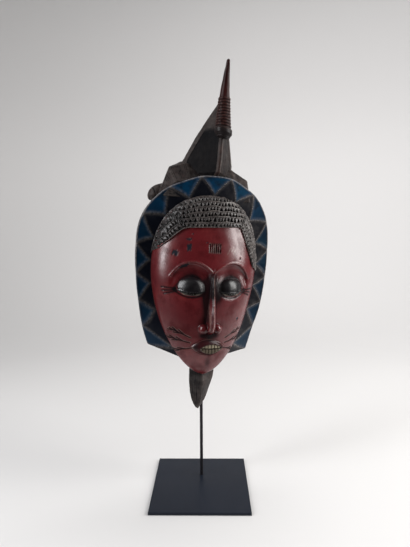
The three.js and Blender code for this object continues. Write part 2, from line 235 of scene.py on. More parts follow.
# Closed mesh over a ring grid: ring to ring in quads, a fan to a middle point at each end.
# Faces are turned outwards by the sign of the volume. Masks become point attributes.
def skin(name, rings, masks):
    count, around = rings.shape[:2]
    poles = np.stack([rings[0].mean(axis=0), rings[-1].mean(axis=0)])
    points = toRow(np.concatenate([rings.reshape(-1, 3), poles]))
    index = np.arange(count * around).reshape(count, around)
    beside = np.roll(index, -1, axis=1)
    quads = np.stack([index[:-1], beside[:-1], beside[1:], index[1:]], -1).reshape(-1, 4)
    firstPole = np.full(around, count * around)
    fans = np.concatenate([
        np.stack([firstPole, beside[0], index[0]], -1),
        np.stack([firstPole + 1, index[-1], beside[-1]], -1),
    ])
    triangles = np.concatenate([quads[:, :3], quads[:, [0, 2, 3]], fans])
    a, b, c = (points[triangles[:, k]] for k in range(3))
    if np.sum(a * np.cross(b, c)) < 0:
        quads, fans = quads[:, ::-1], fans[:, ::-1]
    corners = np.concatenate([quads.ravel(), fans.ravel()])
    starts = np.concatenate([np.arange(len(quads)) * 4, len(quads) * 4 + np.arange(len(fans)) * 3])
    mesh = bpy.data.meshes.new(name)
    mesh.vertices.add(len(points))
    mesh.vertices.foreach_set("co", points.ravel())
    mesh.loops.add(len(corners))
    mesh.loops.foreach_set("vertex_index", corners)
    mesh.polygons.add(len(starts))
    mesh.polygons.foreach_set("loop_start", starts)
    mesh.update(calc_edges=True)
    mesh.validate()
    mesh.shade_smooth()
    for maskName, values in masks.items():
        values = np.broadcast_to(values, (count, around))
        ends = [values[0].mean(), values[-1].mean()]
        addMask(mesh, maskName, np.concatenate([values.ravel(), ends]))
    print(name, len(triangles), "triangles")
    return addObject(name, mesh)


# Node with its settings; each input takes a constant, or a link where the value is another node's socket.
def addNode(tree, kind, inputs=None, **settings):
    node = tree.nodes.new(kind)
    for key, value in settings.items():
        setattr(node, key, value)
    for key, value in (inputs or {}).items():
        if isinstance(value, bpy.types.NodeSocket):
            tree.links.new(value, node.inputs[key])
        else:
            node.inputs[key].default_value = value
    return node


# Number from two others by a named operation.
def calc(tree, operation, a, b):
    return addNode(tree, "ShaderNodeMath", {0: a, 1: b}, operation=operation).outputs[0]


# Product of two numbers.
def times(tree, a, b):
    return calc(tree, "MULTIPLY", a, b)


# Sum of a number and a share of another.
def addShare(tree, total, value, share):
    return calc(tree, "ADD", total, times(tree, value, share))


# Colour a where the cover is 0, colour b where it is 1.
def layer(tree, cover, a, b):
    return addNode(tree, "ShaderNodeMix", {0: cover, 6: a, 7: b}, data_type="RGBA").outputs[2]


# Smooth step from low to high, carried over to another range.
def remap(tree, value, low, high, toLow=0.0, toHigh=1.0):
    inputs = {"Value": value, "From Min": low, "From Max": high, "To Min": toLow, "To Max": toHigh}
    return addNode(tree, "ShaderNodeMapRange", inputs, interpolation_type="SMOOTHSTEP").outputs[0]


# One of the mesh's point masks, by name.
def mask(tree, name):
    return addNode(tree, "ShaderNodeAttribute", attribute_name=name).outputs["Fac"]


# Noise between 0 and 1: scale, number of finer layers, and how strong each finer layer is.
def noise(tree, vector, scale, detail, roughness=0.5):
    inputs = {"Vector": vector, "Scale": scale, "Detail": detail, "Roughness": roughness}
    return addNode(tree, "ShaderNodeTexNoise", inputs).outputs[0]


# Kinds of the sockets that don't carry a plain number.
socketKinds = {"Vector": "NodeSocketVector", "Colour": "NodeSocketColor", "Dust": "NodeSocketColor"}


# Shared group over a vector: its other inputs by name and default, and one output.
def newGroup(name, inputs, output):
    tree = bpy.data.node_groups.new(name, "ShaderNodeTree")
    tree.interface.new_socket("Vector", in_out="INPUT", socket_type=socketKinds["Vector"])
    for socketName, default in inputs.items():
        kind = socketKinds.get(socketName, "NodeSocketFloat")
        tree.interface.new_socket(socketName, in_out="INPUT", socket_type=kind).default_value = default
    kind = socketKinds.get(output, "NodeSocketFloat")
    tree.interface.new_socket(output, in_out="OUTPUT", socket_type=kind)
    return tree, addNode(tree, "NodeGroupInput").outputs, addNode(tree, "NodeGroupOutput").inputs[0]


# Output of a shared group with its inputs fed in.
def useGroup(tree, group, inputs):
    return addNode(tree, "ShaderNodeGroup", inputs, node_tree=group).outputs[0]


# Broken patches: noise cut off at a level, 1 inside a patch.
def makePatches():
    tree, given, result = newGroup("brokenPatches", {"Scale": 60.0, "Level": 0.55, "Softness": 0.04}, "Mask")
    low = calc(tree, "SUBTRACT", given["Level"], given["Softness"])
    high = calc(tree, "ADD", given["Level"], given["Softness"])
    uneven = noise(tree, given["Vector"], given["Scale"], 7.0, 0.62)
    tree.links.new(remap(tree, uneven, low, high), result)
    return tree


# Wood grain: noise stretched along the upright, with fine pores over broad streaks.
def makeGrain():
    tree, given, result = newGroup("uprightGrain", {"Scale": 120.0, "Stretch": 0.09}, "Grain")
    split = addNode(tree, "ShaderNodeSeparateXYZ", {0: given["Vector"]}).outputs
    short = times(tree, split[2], given["Stretch"])
    vector = addNode(tree, "ShaderNodeCombineXYZ", {0: split[0], 1: split[1], 2: short}).outputs[0]
    fine = noise(tree, vector, given["Scale"], 5.0, 0.6)
    broad = noise(tree, vector, times(tree, given["Scale"], 0.22), 2.0)
    tree.links.new(addShare(tree, times(tree, fine, 0.6), broad, 0.4), result)
    return tree


# Dust and rubbed edges: the raised mask, broken up by noise, carries the dust colour over the base.
def makeDust():
    tree, given, result = newGroup("rubbedDust", {
        "Colour": (0.02, 0.02, 0.02, 1), "Dust": (0.2, 0.18, 0.16, 1),
        "Raised": 0.5, "Amount": 0.6, "Scale": 90.0,
    }, "Colour")
    broken = remap(tree, noise(tree, given["Vector"], given["Scale"], 6.0, 0.7), 0.34, 0.66)
    kept = times(tree, given["Raised"], calc(tree, "ADD", times(tree, broken, 0.75), 0.25))
    cover = calc(tree, "MINIMUM", times(tree, kept, given["Amount"]), 1.0)
    tree.links.new(layer(tree, cover, given["Colour"], given["Dust"]), result)
    return tree


# Slow drift of tone: noise darkens and lightens a colour by the given strength.
def makeDrift():
    tree, given, result = newGroup("toneDrift", {
        "Colour": (0.3, 0.03, 0.03, 1), "Scale": 18.0, "Strength": 0.3,
    }, "Colour")
    away = calc(tree, "SUBTRACT", noise(tree, given["Vector"], given["Scale"], 4.0), 0.5)
    gain = calc(tree, "ADD", times(tree, times(tree, away, given["Strength"]), 3.0), 1.0)
    scaled = addNode(tree, "ShaderNodeVectorMath", {0: given["Colour"], 1: gain}, operation="MULTIPLY")
    tree.links.new(scaled.outputs[0], result)
    return tree


patches = makePatches()
grain = makeGrain()
dust = makeDust()
drift = makeDrift()


# Mask of broken patches over the object.
def patchesOf(tree, coords, scale, level, softness):
    return useGroup(tree, patches, {"Vector": coords, "Scale": scale, "Level": level, "Softness": softness})


# Upright grain over the object, from 0 to 1.
def grainOf(tree, coords, scale, stretch):
    return useGroup(tree, grain, {"Vector": coords, "Scale": scale, "Stretch": stretch})


# Colour that drifts in tone over the object.
def driftOf(tree, coords, colour, scale, strength):
    return useGroup(tree, drift, {"Vector": coords, "Colour": colour, "Scale": scale, "Strength": strength})


# Colour with dust rubbed on wherever the raised mask says.
def dustOn(tree, coords, colour, dustAndSheen, raised, amount, scale):
    return useGroup(tree, dust, {
        "Vector": coords, "Colour": colour, "Dust": dustAndSheen, "Raised": raised, "Amount": amount, "Scale": scale,
    })


# Material with one Principled shader and its fixed values; gives back the material, its tree,
# the shader's inputs and the object's coordinates.
def newMaterial(name, fixed):
    material = bpy.data.materials.new(name)
    material.use_nodes = True
    tree = material.node_tree
    shader = tree.nodes["Principled BSDF"]
    for key, value in fixed.items():
        shader.inputs[key].default_value = value
    return material, tree, shader.inputs, addNode(tree, "ShaderNodeTexCoord").outputs["Object"]


# Feeds the shader's inputs by name, and its normal with a bump of a height, strength and distance.
def feed(tree, shader, outputs, height, strength, distance):
    for key, value in outputs.items():
        tree.links.new(value, shader[key])
    inputs = {"Height": height, "Strength": strength, "Distance": distance}
    tree.links.new(addNode(tree, "ShaderNodeBump", inputs).outputs[0], shader["Normal"])


redPaint = {
    "red": (0.115, 0.0090, 0.0120, 1),
    "deepRed": (0.062, 0.0045, 0.006, 1),
    "thinRed": (0.20, 0.026, 0.026, 1),
    # Near-black for soot, and for the painted shade in the face's hollows.
    "sootAndShade": (0.009, 0.006, 0.007, 1),
    "lid": (0.013, 0.013, 0.016, 1),
    "ivory": (0.36, 0.31, 0.22, 1),
    # Pale colour for rubbed wood, and for the painted highlights on the nose and brow.
    "rubbedAndHighlight": (0.31, 0.21, 0.18, 1),
    "chip": (0.016, 0.019, 0.026, 1),
    "hollow": (0.085, 0.045, 0.028, 1),
    "roughness": (0.36, 0.5),
    "shader": {"IOR": 1.5, "Specular IOR Level": 0.05, "Coat IOR": 1.6, "Coat Roughness": 0.27},
    "drift": (16.0, 0.35),           # scale, strength
    "thin": (30.0, 0.6, 0.1),        # patches by scale, level and softness
    "stains": (52.0, 0.56, 0.1),
    "specks": (260.0, 0.69, 0.02),
    "grain": (150.0, 0.12),          # scale, stretch
    "dust": (0.95, 210.0),           # amount, scale
    "bump": (0.2, 0.0012),           # strength, distance in metres
}


# Face paint: red drifting in tone, soot and painted shade in the hollows, black lids, ivory teeth, rubbed
# lines and painted highlights, and chips.
def faceMaterial():
    material, tree, shader, coords = newMaterial("glossyRedPaint", redPaint["shader"])
    names = ("sootAndShade", "lid", "ivory", "chip", "rubbedAndHighlight", "inside")
    sootAndShade, lid, ivory, chip, rubbedAndHighlight, inside = (mask(tree, name) for name in names)
    red = driftOf(tree, coords, redPaint["red"], *redPaint["drift"])
    thin = patchesOf(tree, coords, *redPaint["thin"])
    red = layer(tree, times(tree, thin, 0.5), red, redPaint["thinRed"])
    stains = patchesOf(tree, coords, *redPaint["stains"])
    colour = layer(tree, times(tree, stains, 0.55), red, redPaint["deepRed"])
    streaks = grainOf(tree, coords, *redPaint["grain"])
    darkStreaks = times(tree, remap(tree, streaks, 0.52, 0.72), 0.35)
    colour = layer(tree, darkStreaks, colour, redPaint["deepRed"])
    # The soot mask is partly painted shade: its near-black stands in for shadow in the sockets, corners,
    # creases and under the nose.
    shadeAndGrime = times(tree, sootAndShade, remap(tree, streaks, 0.2, 0.62, 1.2, 0.88))
    colour = layer(tree, calc(tree, "MINIMUM", shadeAndGrime, 1.0), colour, redPaint["sootAndShade"])
    colour = layer(tree, lid, colour, redPaint["lid"])
    colour = layer(tree, ivory, colour, redPaint["ivory"])
    colour = layer(tree, chip, colour, redPaint["chip"])
    specks = patchesOf(tree, coords, *redPaint["specks"])
    colour = layer(tree, times(tree, specks, 0.7), colour, redPaint["chip"])
    colour = dustOn(tree, coords, colour, redPaint["rubbedAndHighlight"], rubbedAndHighlight, *redPaint["dust"])
    satin = remap(tree, streaks, 0.3, 0.7, *redPaint["roughness"])
    satin = addShare(tree, addShare(tree, satin, sootAndShade, 0.1), inside, 0.35)
    dull = calc(tree, "MAXIMUM", inside, times(tree, sootAndShade, 0.9))
    dull = calc(tree, "MAXIMUM", dull, times(tree, chip, 0.8))
    polish = calc(tree, "SUBTRACT", remap(tree, stains, 0.0, 1.0, 1.0, 0.55), dull)
    polish = calc(tree, "MAXIMUM", polish, times(tree, lid, 0.95))
    height = calc(tree, "SUBTRACT", streaks, times(tree, specks, 0.6))
    feed(tree, shader, {
        "Base Color": layer(tree, inside, colour, redPaint["hollow"]),
        "Roughness": satin,
        "Coat Weight": calc(tree, "MAXIMUM", polish, 0.0),
    }, height, *redPaint["bump"])
    return material


lidPaint = {
    "black": (0.003, 0.0035, 0.005, 1),
    "ivory": (0.15, 0.115, 0.075, 1),
    "roughness": (0.16, 0.28),
    "shader": {"IOR": 1.6, "Specular IOR Level": 0.34},
    "smears": (120.0, 0.55, 0.1),
    "bump": (0.08, 0.0006),
}


# Lids: glossy black with a few dull smears; the lower lid carries worn ivory at its ends.
def lidMaterial():
    material, tree, shader, coords = newMaterial("glossyBlackLid", lidPaint["shader"])
    smears = patchesOf(tree, coords, *lidPaint["smears"])
    worn = times(tree, mask(tree, "ivory"), remap(tree, smears, 0.0, 1.0, 1.0, 0.45))
    colour = layer(tree, worn, lidPaint["black"], lidPaint["ivory"])
    gloss = remap(tree, smears, 0.0, 1.0, *lidPaint["roughness"])
    # The face's soot mask carries its painted shade round the lids onto the lids too.
    sootAndShade = mask(tree, "sootAndShade")
    feed(tree, shader, {
        "Base Color": layer(tree, sootAndShade, colour, redPaint["sootAndShade"]),
        "Roughness": addShare(tree, gloss, sootAndShade, 0.3),
    }, smears, *lidPaint["bump"])
    return material


# Polygons whose corners mostly lie on the lids take the second material.
def paintLids(piece):
    mesh = piece.data
    onLid = np.zeros(len(mesh.vertices), np.float32)
    mesh.attributes["lid"].data.foreach_get("value", onLid)
    loops = np.zeros(len(mesh.loops), np.int32)
    mesh.loops.foreach_get("vertex_index", loops)
    starts = np.zeros(len(mesh.polygons), np.int32)
    mesh.polygons.foreach_get("loop_start", starts)
    counts = np.diff(np.append(starts, len(loops)))
    share = np.add.reduceat(onLid[loops], starts) / counts
    mesh.materials.append(lidMaterial())
    mesh.polygons.foreach_set("material_index", (share > 0.5).astype(np.int32))
    mesh.update()


face = {
    "middle": -10.0,                 # height of the grid's centre, on the nose
    "columns": 480,
    "rings": 150,
    "wallRings": 9,
    "hollowRings": 34,
    "socket": (31.0, 26.0, 32.0, 29.0, 8.0),         # across, height, half width, half height, depth
    "brow": ((1.5, 40.0), (38.0, 74.0), (62.0, 32.0)),
    "browHalf": 1.7,
    "browRaise": 1.9,
    "browStep": 3.6,
    "eye": (31.0, 13.0, 26.5, (19.0, 9.6), 12.0),    # across, height, half width, reaches, bulge
    "lidLevel": 0.36,                # share of the length that stays nearly level
    "lidSunk": 7.5,
    "slit": (10.4, 8.7),             # height of the upper and the lower lid's edge
    "slitRise": (2.6, 3.4),          # how far each of them rises towards the corners
    "lidCuts": (1.9, 1.6),           # depth of the slit, and of the lower lid behind the upper
    "mouth": (0.6, -72.0, 26.0, 12.6, 9.0),          # like the socket, with its bulge last
    "teeth": (17.8, 7.2, 5.0),       # half length, half height, pitch
    "teethShift": (4.2, -2.8),
    "noseFaces": 0.58,               # share of the nose's half width that slopes to the ridge
    "noseSlope": 1.08,
    "wing": (10.4, -43.5, 7.4, 7.8, 42.5),           # like the socket, with its forward place last
    "strokes": (6, 3.1, 75.5, 12.0, 1.3),            # count, pitch, height, length, depth
    "scarDepth": 0.75,
    "fanDepth": 0.7,
    "chipDepth": 0.5,
    "hairSeat": 5.0,                 # how deep the face is cut away under the hair
    "noseLine": (                    # height, half width, raise
        (-54, 6.5, 0.0), (-51, 7.5, 6.5), (-46, 8.6, 14.8), (-40, 7.8, 16.8), (-34, 7.0, 16.4),
        (-8, 5.2, 11.8), (14, 4.2, 6.8), (28, 3.3, 3.7), (40, 2.5, 0.8), (46, 2.4, 0.0)),
    "whiskers": ((27, -58, 56, -46), (27, -66, 58, -60), (24, -74, 52, -81)),
    "eyeFans": ((52, 14.5, 71, 15.5), (52, 13.0, 70, 10.0), (51, 11.5, 67, 5.5)),
    "rubMarks": ((20, 68, 25, 77), (30, 69, 37, 80), (27, 72, 30, 79)),
    "chips": (                       # x, height, half width, half height, turn in degrees
        (-38.0, 87.0, 4.4, 2.2, 0), (-37.5, 75.5, 3.7, 6.4, -8), (-56.0, 66.5, 4.8, 4.8, 10),
        (-12.2, 83.4, 1.5, 1.2, 0), (-32.8, 95.0, 1.6, 1.2, 0), (43.0, 62.0, 1.3, 1.9, 0),
        (47.6, -30.5, 1.9, 3.0, -25), (-43.0, 48.2, 9.2, 2.6, 22)),
}


# Quadratic curve through the brow's three points, as many x and height samples.
def browCurve():
    t = np.linspace(0, 1, 90)[:, None]
    inner, bend, outer = (np.array(point) for point in face["brow"])
    return (1 - t) ** 2 * inner + 2 * t * (1 - t) * bend + t ** 2 * outer


# Feathered scars: each line with a shorter one swung off it to both sides.
def feather(lines, swing):
    strokes = []
    for x1, z1, x2, z2 in lines:
        strokes.append((x1, z1, x2, z2))
        for start, side in ((0.30, 1), (0.45, -1), (0.62, 1), (0.75, -1)):
            bx, bz = mix(x1, x2, start), mix(z1, z2, start)
            length = 0.34 * math.hypot(x2 - x1, z2 - z1) * (1.15 - 0.4 * start)
            angle = math.atan2(z2 - z1, x2 - x1) + side * swing
            strokes.append((bx, bz, bx + length * math.cos(angle), bz + length * math.sin(angle)))
    return strokes


# Carved face as a height over x and z: dome, minus sockets and the step under the brow, plus brow ridge,
# lids, nose, wings and lips; grooves, strokes and chips are then cut into it.
def carveFace(x, z):
    side = np.abs(x)
    dome = domeAt(x, z)
    cx, cz, halfX, halfZ, depth = face["socket"]
    inside = unit(1 - ((side - cx) / halfX) ** 2 - ((z - cz) / halfZ) ** 2)
    socket = depth * inside ** 2
    curve = browCurve()
    gap = np.hypot(side[..., None] - curve[:, 0], z[..., None] - curve[:, 1])
    along = gap.argmin(axis=-1) / (len(curve) - 1)
    gap = gap.min(axis=-1)
    below = np.interp(side, curve[:, 0], curve[:, 1]) - z
    span = window(side, (2, 8), (55, 63))
    step = face["browStep"] * window(below, (0.3, 3.2), (7, 24)) * span
    ridge = face["browRaise"] * (1 - 0.6 * along ** 2) * unit(1 - gap / face["browHalf"]) ** 0.8
    surface = dome - socket - step + ridge

    # lids: lens-shaped, round from top to bottom, nearly level along the middle and then sloping steadily
    # down to the corners, with a slit between two edges
    ex, ez, eyeHalfX, eyeHalfZ, bulge = face["eye"]
    u = (side - ex) / eyeHalfX
    lens = np.clip(1 - u * u, 1e-4, 1)
    w = (z - ez) / (np.where(z > ez, eyeHalfZ[0], eyeHalfZ[1]) * lens ** 0.62)
    ball = 1 - u * u - w * w
    level = face["lidLevel"]
    roof = 1 - 0.86 * np.maximum(softMax(np.abs(u) - level, 0 * u, 0.24), 0) / (1 - level) - 0.1 * u * u
    lid = dome - face["lidSunk"] + bulge * unit(roof) * np.sqrt(unit(1 - w * w))
    upperEdge, lowerEdge = (edge + rise * u * u for edge, rise in zip(face["slit"], face["slitRise"]))
    slit = smooth(upperEdge - z, -0.2, 0.6) * smooth(z - lowerEdge, -0.2, 0.6)
    under = smooth(lowerEdge - z, 0, 0.8)
    slitDepth, underDepth = face["lidCuts"]
    lid = lid - slitDepth * slit - underDepth * under
    lid += 0.6 * bell(z - upperEdge - 0.7, 0.8)
    onLid = smooth(lid - surface, -0.2, 0.5) * (ball > 0)
    aroundLid = 1 - (u / 0.86) ** 2 - w * w
    surface = np.where(ball > -0.4, softMax(surface, lid, 2.4), surface)
    lidRing = bell(ball + 0.10, 0.12)

    # nose: two sloping faces that meet in a ridge over steep sides, and a ball for each wing
    noseRows = np.array(face["noseLine"])
    half, raised = readRows(noseRows, z)
    t = side / half
    eaves = raised - half * face["noseFaces"] * face["noseSlope"]
    flank = eaves - np.maximum(eaves + 2, 2) * (t - face["noseFaces"]) / (1 - face["noseFaces"])
    nose = dome + np.where(t < face["noseFaces"], raised - side * face["noseSlope"], flank)
    nose = np.where((z > noseRows[0, 0]) & (z < noseRows[-1, 0]), nose, dome - 20)
    wingX, wingZ, wingHalfX, wingHalfZ, wingForward = face["wing"]
    wing = 1 - ((side - wingX) / wingHalfX) ** 2 - ((z - wingZ) / wingHalfZ) ** 2
    wings = np.where(wing > 0, wingForward + wingHalfZ * np.sqrt(unit(wing)), 0)
    nose = softMax(nose, wings, 1.6)
    onNose = smooth(nose - surface, -0.5, 0.5)
    surface = softMax(surface, nose, 2.2)

    # lips: a lens-shaped ball opened over two rows of teeth
    mx, mz, mouthHalfX, mouthHalfZ, mouthBulge = face["mouth"]
    toothHalfX, toothHalfZ, pitch = face["teeth"]
    u = (x - mx) / mouthHalfX
    w = (z - mz) / (mouthHalfZ * np.clip(1 - u * u, 1e-4, 1) ** 0.35)
    lipBall = 1 - u * u - w * w
    mouthLevel = domeAt(0.0, mz)
    lips = mouthLevel - 3 + mouthBulge * np.sqrt(unit(lipBall)) - 2.6 * u * u
    surface = np.where(lipBall > 0, softMax(surface, lips, 1.4), surface)
    toothX, toothZ = x - mx - face["teethShift"][0], z - mz - face["teethShift"][1]
    u = toothX / toothHalfX
    w = toothZ / (toothHalfZ * np.clip(1 - u * u, 1e-4, 1) ** 0.3)
    opened = 1 - u * u - w * w
    between = grooves(toothX + 0.5 * np.sign(toothZ), pitch, 0.85)
    bite = fall(np.abs(toothZ - 0.8 + 0.6 * np.cos(toothX / 9)), 0.3, 1.3)
    teeth = mouthLevel + 3.4 - 2.4 * u * u - 1.5 * between - 2.4 * bite
    inMouth = smooth(opened, 0, 0.12)
    surface = surface * (1 - inMouth) + np.minimum(surface, teeth) * inMouth

    # cuts: forehead strokes, feathered scars, lines at the eye corners, chips
    count, strokePitch, strokeZ, strokeLength, strokeDepth = face["strokes"]
    places = (np.arange(count) - (count - 1) / 2) * strokePitch
    uprights = [(p, strokeZ - strokeLength / 2, p, strokeZ + strokeLength / 2) for p in places]
    toStroke = strokeDistance(x, z, uprights)
    toScar = strokeDistance(side, z, feather(face["whiskers"], 0.3))
    toFan = strokeDistance(side, z, face["eyeFans"])
    surface -= strokeDepth * fall(toStroke, 0.2, 1.1)
    surface -= face["scarDepth"] * fall(toScar, 0.1, 1.0) + face["fanDepth"] * fall(toFan, 0.1, 0.9)
    chipped = np.zeros_like(x)
    for px, pz, chipX, chipZ, turn in face["chips"]:
        c, s = math.cos(math.radians(turn)), math.sin(math.radians(turn))
        dx, dz = (x - px) * c + (z - pz) * s, (z - pz) * c - (x - px) * s
        shape = 1 - (dx / chipX) ** 2 - (dz / chipZ) ** 2 + 0.3 * waver(x, z, 3.5, 21)
        chipped = np.maximum(chipped, smooth(shape, 0, 0.5))
    surface -= face["chipDepth"] * chipped
    surface += 0.16 * waver(x, z, 36, 3) + 0.03 * waver(x, z, 11, 4)
    turned, radius = polar(x, z)
    low, high = (math.radians(end) for end in hair["reach"])
    underHair = radius - hairlineRadius(np.clip(turned, low, high))
    covered = window(turned, (low, low + 0.13), (high - 0.2, high - 0.07))
    surface -= face["hairSeat"] * smooth(underHair, 1.0, 5.0) * covered

    # masks: soot and painted shade in the hollows and cuts, ivory on the teeth, rubbed wood on the edges and
    # painted highlights on the nose and brow
    innerCorner = np.exp(-((side - 9) / 8) ** 2 - ((z - 10) / 18) ** 2)
    roundLid = bell(aroundLid + 0.2, 0.4) * (1 - onLid) * (0.65 + 0.35 * smooth(-z, -20, -10))
    wingCrease = bell(wing + 0.12, 0.22)
    underNose = 1.5 * np.exp(-(x / 15) ** 4 - ((z + 54.5) / 4.6) ** 2)
    noseTop = np.exp(-(x / 8) ** 4) * window(z, (-2, 16), (36, 48))
    lipCrease = bell(lipBall + 0.08, 0.10)
    chinSmear = 0.7 * np.exp(-((x - 3) / 5) ** 2 - ((z + 97) / 9) ** 2)
    noseFoot = bell(t - 1.05, 0.35) * window(z, (-46, -20), (20, 34))
    onLips = smooth(lipBall, 0.0, 0.25)
    # Soot mask, partly painted shade: sockets, inner eye corners, rings round the lids, wing creases, the
    # band under the nose, the lip crease, the nose's flanks and top and the wings' undersides are darkened
    # where shadow falls; the chin smear, the lips, the cuts and the gaps between the teeth are dark dirt and
    # paint.
    sootAndShade = 0.5 * smooth(socket, 1.0, 6.0) + 1.3 * innerCorner + 0.9 * roundLid + 0.3 * lidRing
    sootAndShade += 0.55 * wingCrease + underNose + 0.8 * lipCrease + chinSmear + 0.7 * noseFoot * (1 - onNose)
    sootAndShade += 0.8 * noseTop + 0.35 * smooth(wing, 0.0, 0.4) * smooth(-z, 38, 50)
    # Painted shade down the left face of the nose.
    sootAndShade += 0.95 * window(-x, (3.6, 5.2), (8, 17)) * window(z, (-42, -30), (20, 40))
    sootAndShade += 0.9 * fall(toScar, 0.2, 1.1) + 0.25 * fall(toScar, 1.0, 3.0)
    sootAndShade += fall(toFan, 0.3, 1.0) + 0.5 * fall(toFan, 0.8, 2.8)
    sootAndShade += onLips * (0.84 + 0.16 * smooth(opened, -0.7, 0.0))
    sootAndShade += 0.95 * fall(toStroke, 0.3, 1.0) + 0.45 * fall(toStroke, 1.0, 3.2)
    sootAndShade += inMouth * np.maximum(between, bite) * 0.9
    # Darker towards the face's sides, and painted shade over the left cheek.
    sootAndShade += 0.35 * smooth(side / head["halfWidth"], 0.9, 1.0)
    sootAndShade += 0.2 * smooth(-x, 14, 34) * window(z, (-95, -60), (-20, 6))
    sootAndShade *= 1 - 0.85 * smooth(ridge, 0.5, 1.6)
    # Ivory on the teeth, dimmer on the lower row as painted shade.
    ivory = inMouth * (1 - 0.95 * np.maximum(between, bite)) * (0.3 + 0.7 * smooth(toothZ, -1, 1))
    lidDirt = 0.1 + 0.7 * bell(np.abs(side - ex) / eyeHalfX - 0.4, 0.18)
    ivory += under * onLid * lidDirt * smooth(ball, 0.02, 0.2)
    # Pale rubbed wood on the brow ridge, partly a painted highlight along it.
    rubbedAndHighlight = 0.6 * smooth(ridge, 1.0, 1.7) * (1 - 0.6 * along)
    onRidge = onNose * window(z, (-49, -42), (30, 36))
    # Painted light along the nose: a band of painted shade left of the ridge, a pale painted highlight on the
    # ridge, and a pale painted reflection down the left face.
    sootAndShade += 0.55 * bell(x + 1.6, 1.0) * onRidge
    rubbedAndHighlight += 0.8 * bell(x - 0.5, 0.5) * onRidge
    rubbedAndHighlight += 0.5 * bell(x + 4.4 + 0.02 * z, 0.7) * onRidge * fall(z, -22, 0)
    rubbedAndHighlight += 0.35 * bell(toScar - 1.35, 0.45)
    toRub = strokeDistance(x, z, face["rubMarks"])
    rubbedAndHighlight += 0.6 * bell(toStroke - 1.5, 0.25) + 0.6 * fall(toRub, 0.3, 1.3)
    rubbedAndHighlight += 0.3 * bell(opened + 0.22, 0.13) + 0.3 * bell(lipBall - 0.08, 0.07)
    rubbedAndHighlight += 0.4 * bell(chipped - 0.3, 0.2) * (chipped > 0.02)
    masks = {
        "sootAndShade": unit(sootAndShade),
        "lid": unit(onLid),
        "ivory": unit(ivory),
        "rubbedAndHighlight": unit(rubbedAndHighlight) * (1 - 0.7 * onLid),
        "chip": chipped,
    }
    return surface, masks


# Outline radius seen from the face grid's own centre, looked up by angle.
def outlineFromMiddle(angle):
    turn = np.linspace(-np.pi, np.pi, 6001)
    x, z = onRay(head["centre"], turn, outlineRadius(turn))
    seen = np.arctan2(x, z - face["middle"])
    order = np.argsort(seen)
    return np.interp(angle, seen[order], np.hypot(x, z - face["middle"])[order], period=2 * np.pi)


# Hollow behind the face: the dome one wall inside the outline and 14 mm back, never behind the rim.
def hollowAt(x, z):
    angle, radius = polar(x, z)
    share = radius / (outlineRadius(angle) - head["wall"])
    return np.maximum(rimAt(z) + 4, domeOf(np.minimum(share, 1), angle) - head["wall"] - 4)


# Shell: rings from the nose out to the outline, round the side wall and the rim, then in over the hollow.
def buildFace():
    angle = np.arange(face["columns"]) * 2 * np.pi / face["columns"]
    reach = outlineFromMiddle(angle)
    t = np.arange(1, face["rings"] + 1) / face["rings"]
    share = (5 * t - t ** 5) / 4     # even steps, finer towards the outline
    x, z = onRay(face["middle"], angle, share[:, None] * reach)
    forward, masks = carveFace(x, z)
    fade = smooth(share[:, None], 0.985, 1.0)
    forward = forward * (1 - fade) + domeAt(x, z) * fade
    outer = gridOf(x, forward, z)
    wallPart = (np.arange(1, face["wallRings"] + 1) / face["wallRings"])[:, None]
    edgeX, edgeZ = onRay(face["middle"], angle, reach)
    wall = gridOf(edgeX, mix(domeAt(edgeX, edgeZ), rimAt(edgeZ) + 1.2, wallPart), edgeZ)
    insets = np.array([(1.2, 0.0), (5.0, 0.0), (head["wall"] - 1.2, 0.0), (head["wall"], 1.2)])
    rimX, rimZ = onRay(face["middle"], angle, reach - insets[:, :1])
    rimRings = gridOf(rimX, rimAt(rimZ) + insets[:, 1:], rimZ)
    back = 1 - np.linspace(0, 1, face["hollowRings"])[:, None] ** 1.6 * 0.97
    inX, inZ = onRay(face["middle"], angle, back * (reach - head["wall"]))
    adze = 0.5 * waver(inX, inZ, 17, 11) + 0.35 * np.abs(np.sin(inX / 5.5 + 1.3 * waver(inX, inZ, 30, 12)))
    hollow = gridOf(inX, hollowAt(inX, inZ) + adze * smooth(1 - back, 0, 0.1), inZ)
    rings = np.concatenate([outer, wall, rimRings, hollow])
    rest = len(rings) - len(outer)
    full = {}
    for name, values in masks.items():
        tail = np.full((rest, len(angle)), 0.5 if name == "sootAndShade" else 0.0)
        full[name] = np.concatenate([values, tail])
    bare = np.full(rest, 0.9)
    bare[:2] = 0.45
    full["sootAndShade"][-len(hollow):] = 0.25
    full["inside"] = np.broadcast_to(np.concatenate([np.zeros(len(outer)), bare])[:, None], rings.shape[:2])
    return skin("carvedFace", rings, full)


hair = {
    "stations": 440,
    "samples": 66,
    "reach": (-76.0, 93.0),          # degrees from the top, to the left and to the right
    "raise": 3.6,
    "overlap": 1.8,
    "rowPitch": 7.8,
    "arch": 0.35,
    "notchPitch": 5.6,
    "notchDepth": 3.2,
    "ridge": 1.2,
    "brow": (106.2, 0.063),          # height of the hairline in the middle, and its rise to the right
    "temples": ((-45.0, 103.4, -88.0, 62.5), (42.0, 108.8, 70.0, 48.0)),      # each slanting line's ends
    "foot": (56.6, 0.7),             # lower end on the right: height over the dome's middle, and its slope
}


# Slanting hairline of each temple: its start and the unit direction across it, towards the hair.
def templeLine(x):
    lines = []
    for x1, z1, x2, z2 in hair["temples"]:
        length = math.hypot(x2 - x1, z2 - z1)
        side = math.copysign(1, x1)
        lines.append((x1, z1, side * (z1 - z2) / length, side * (x2 - x1) / length))
    return [np.where(x < 0, left, right) for left, right in zip(*lines)]


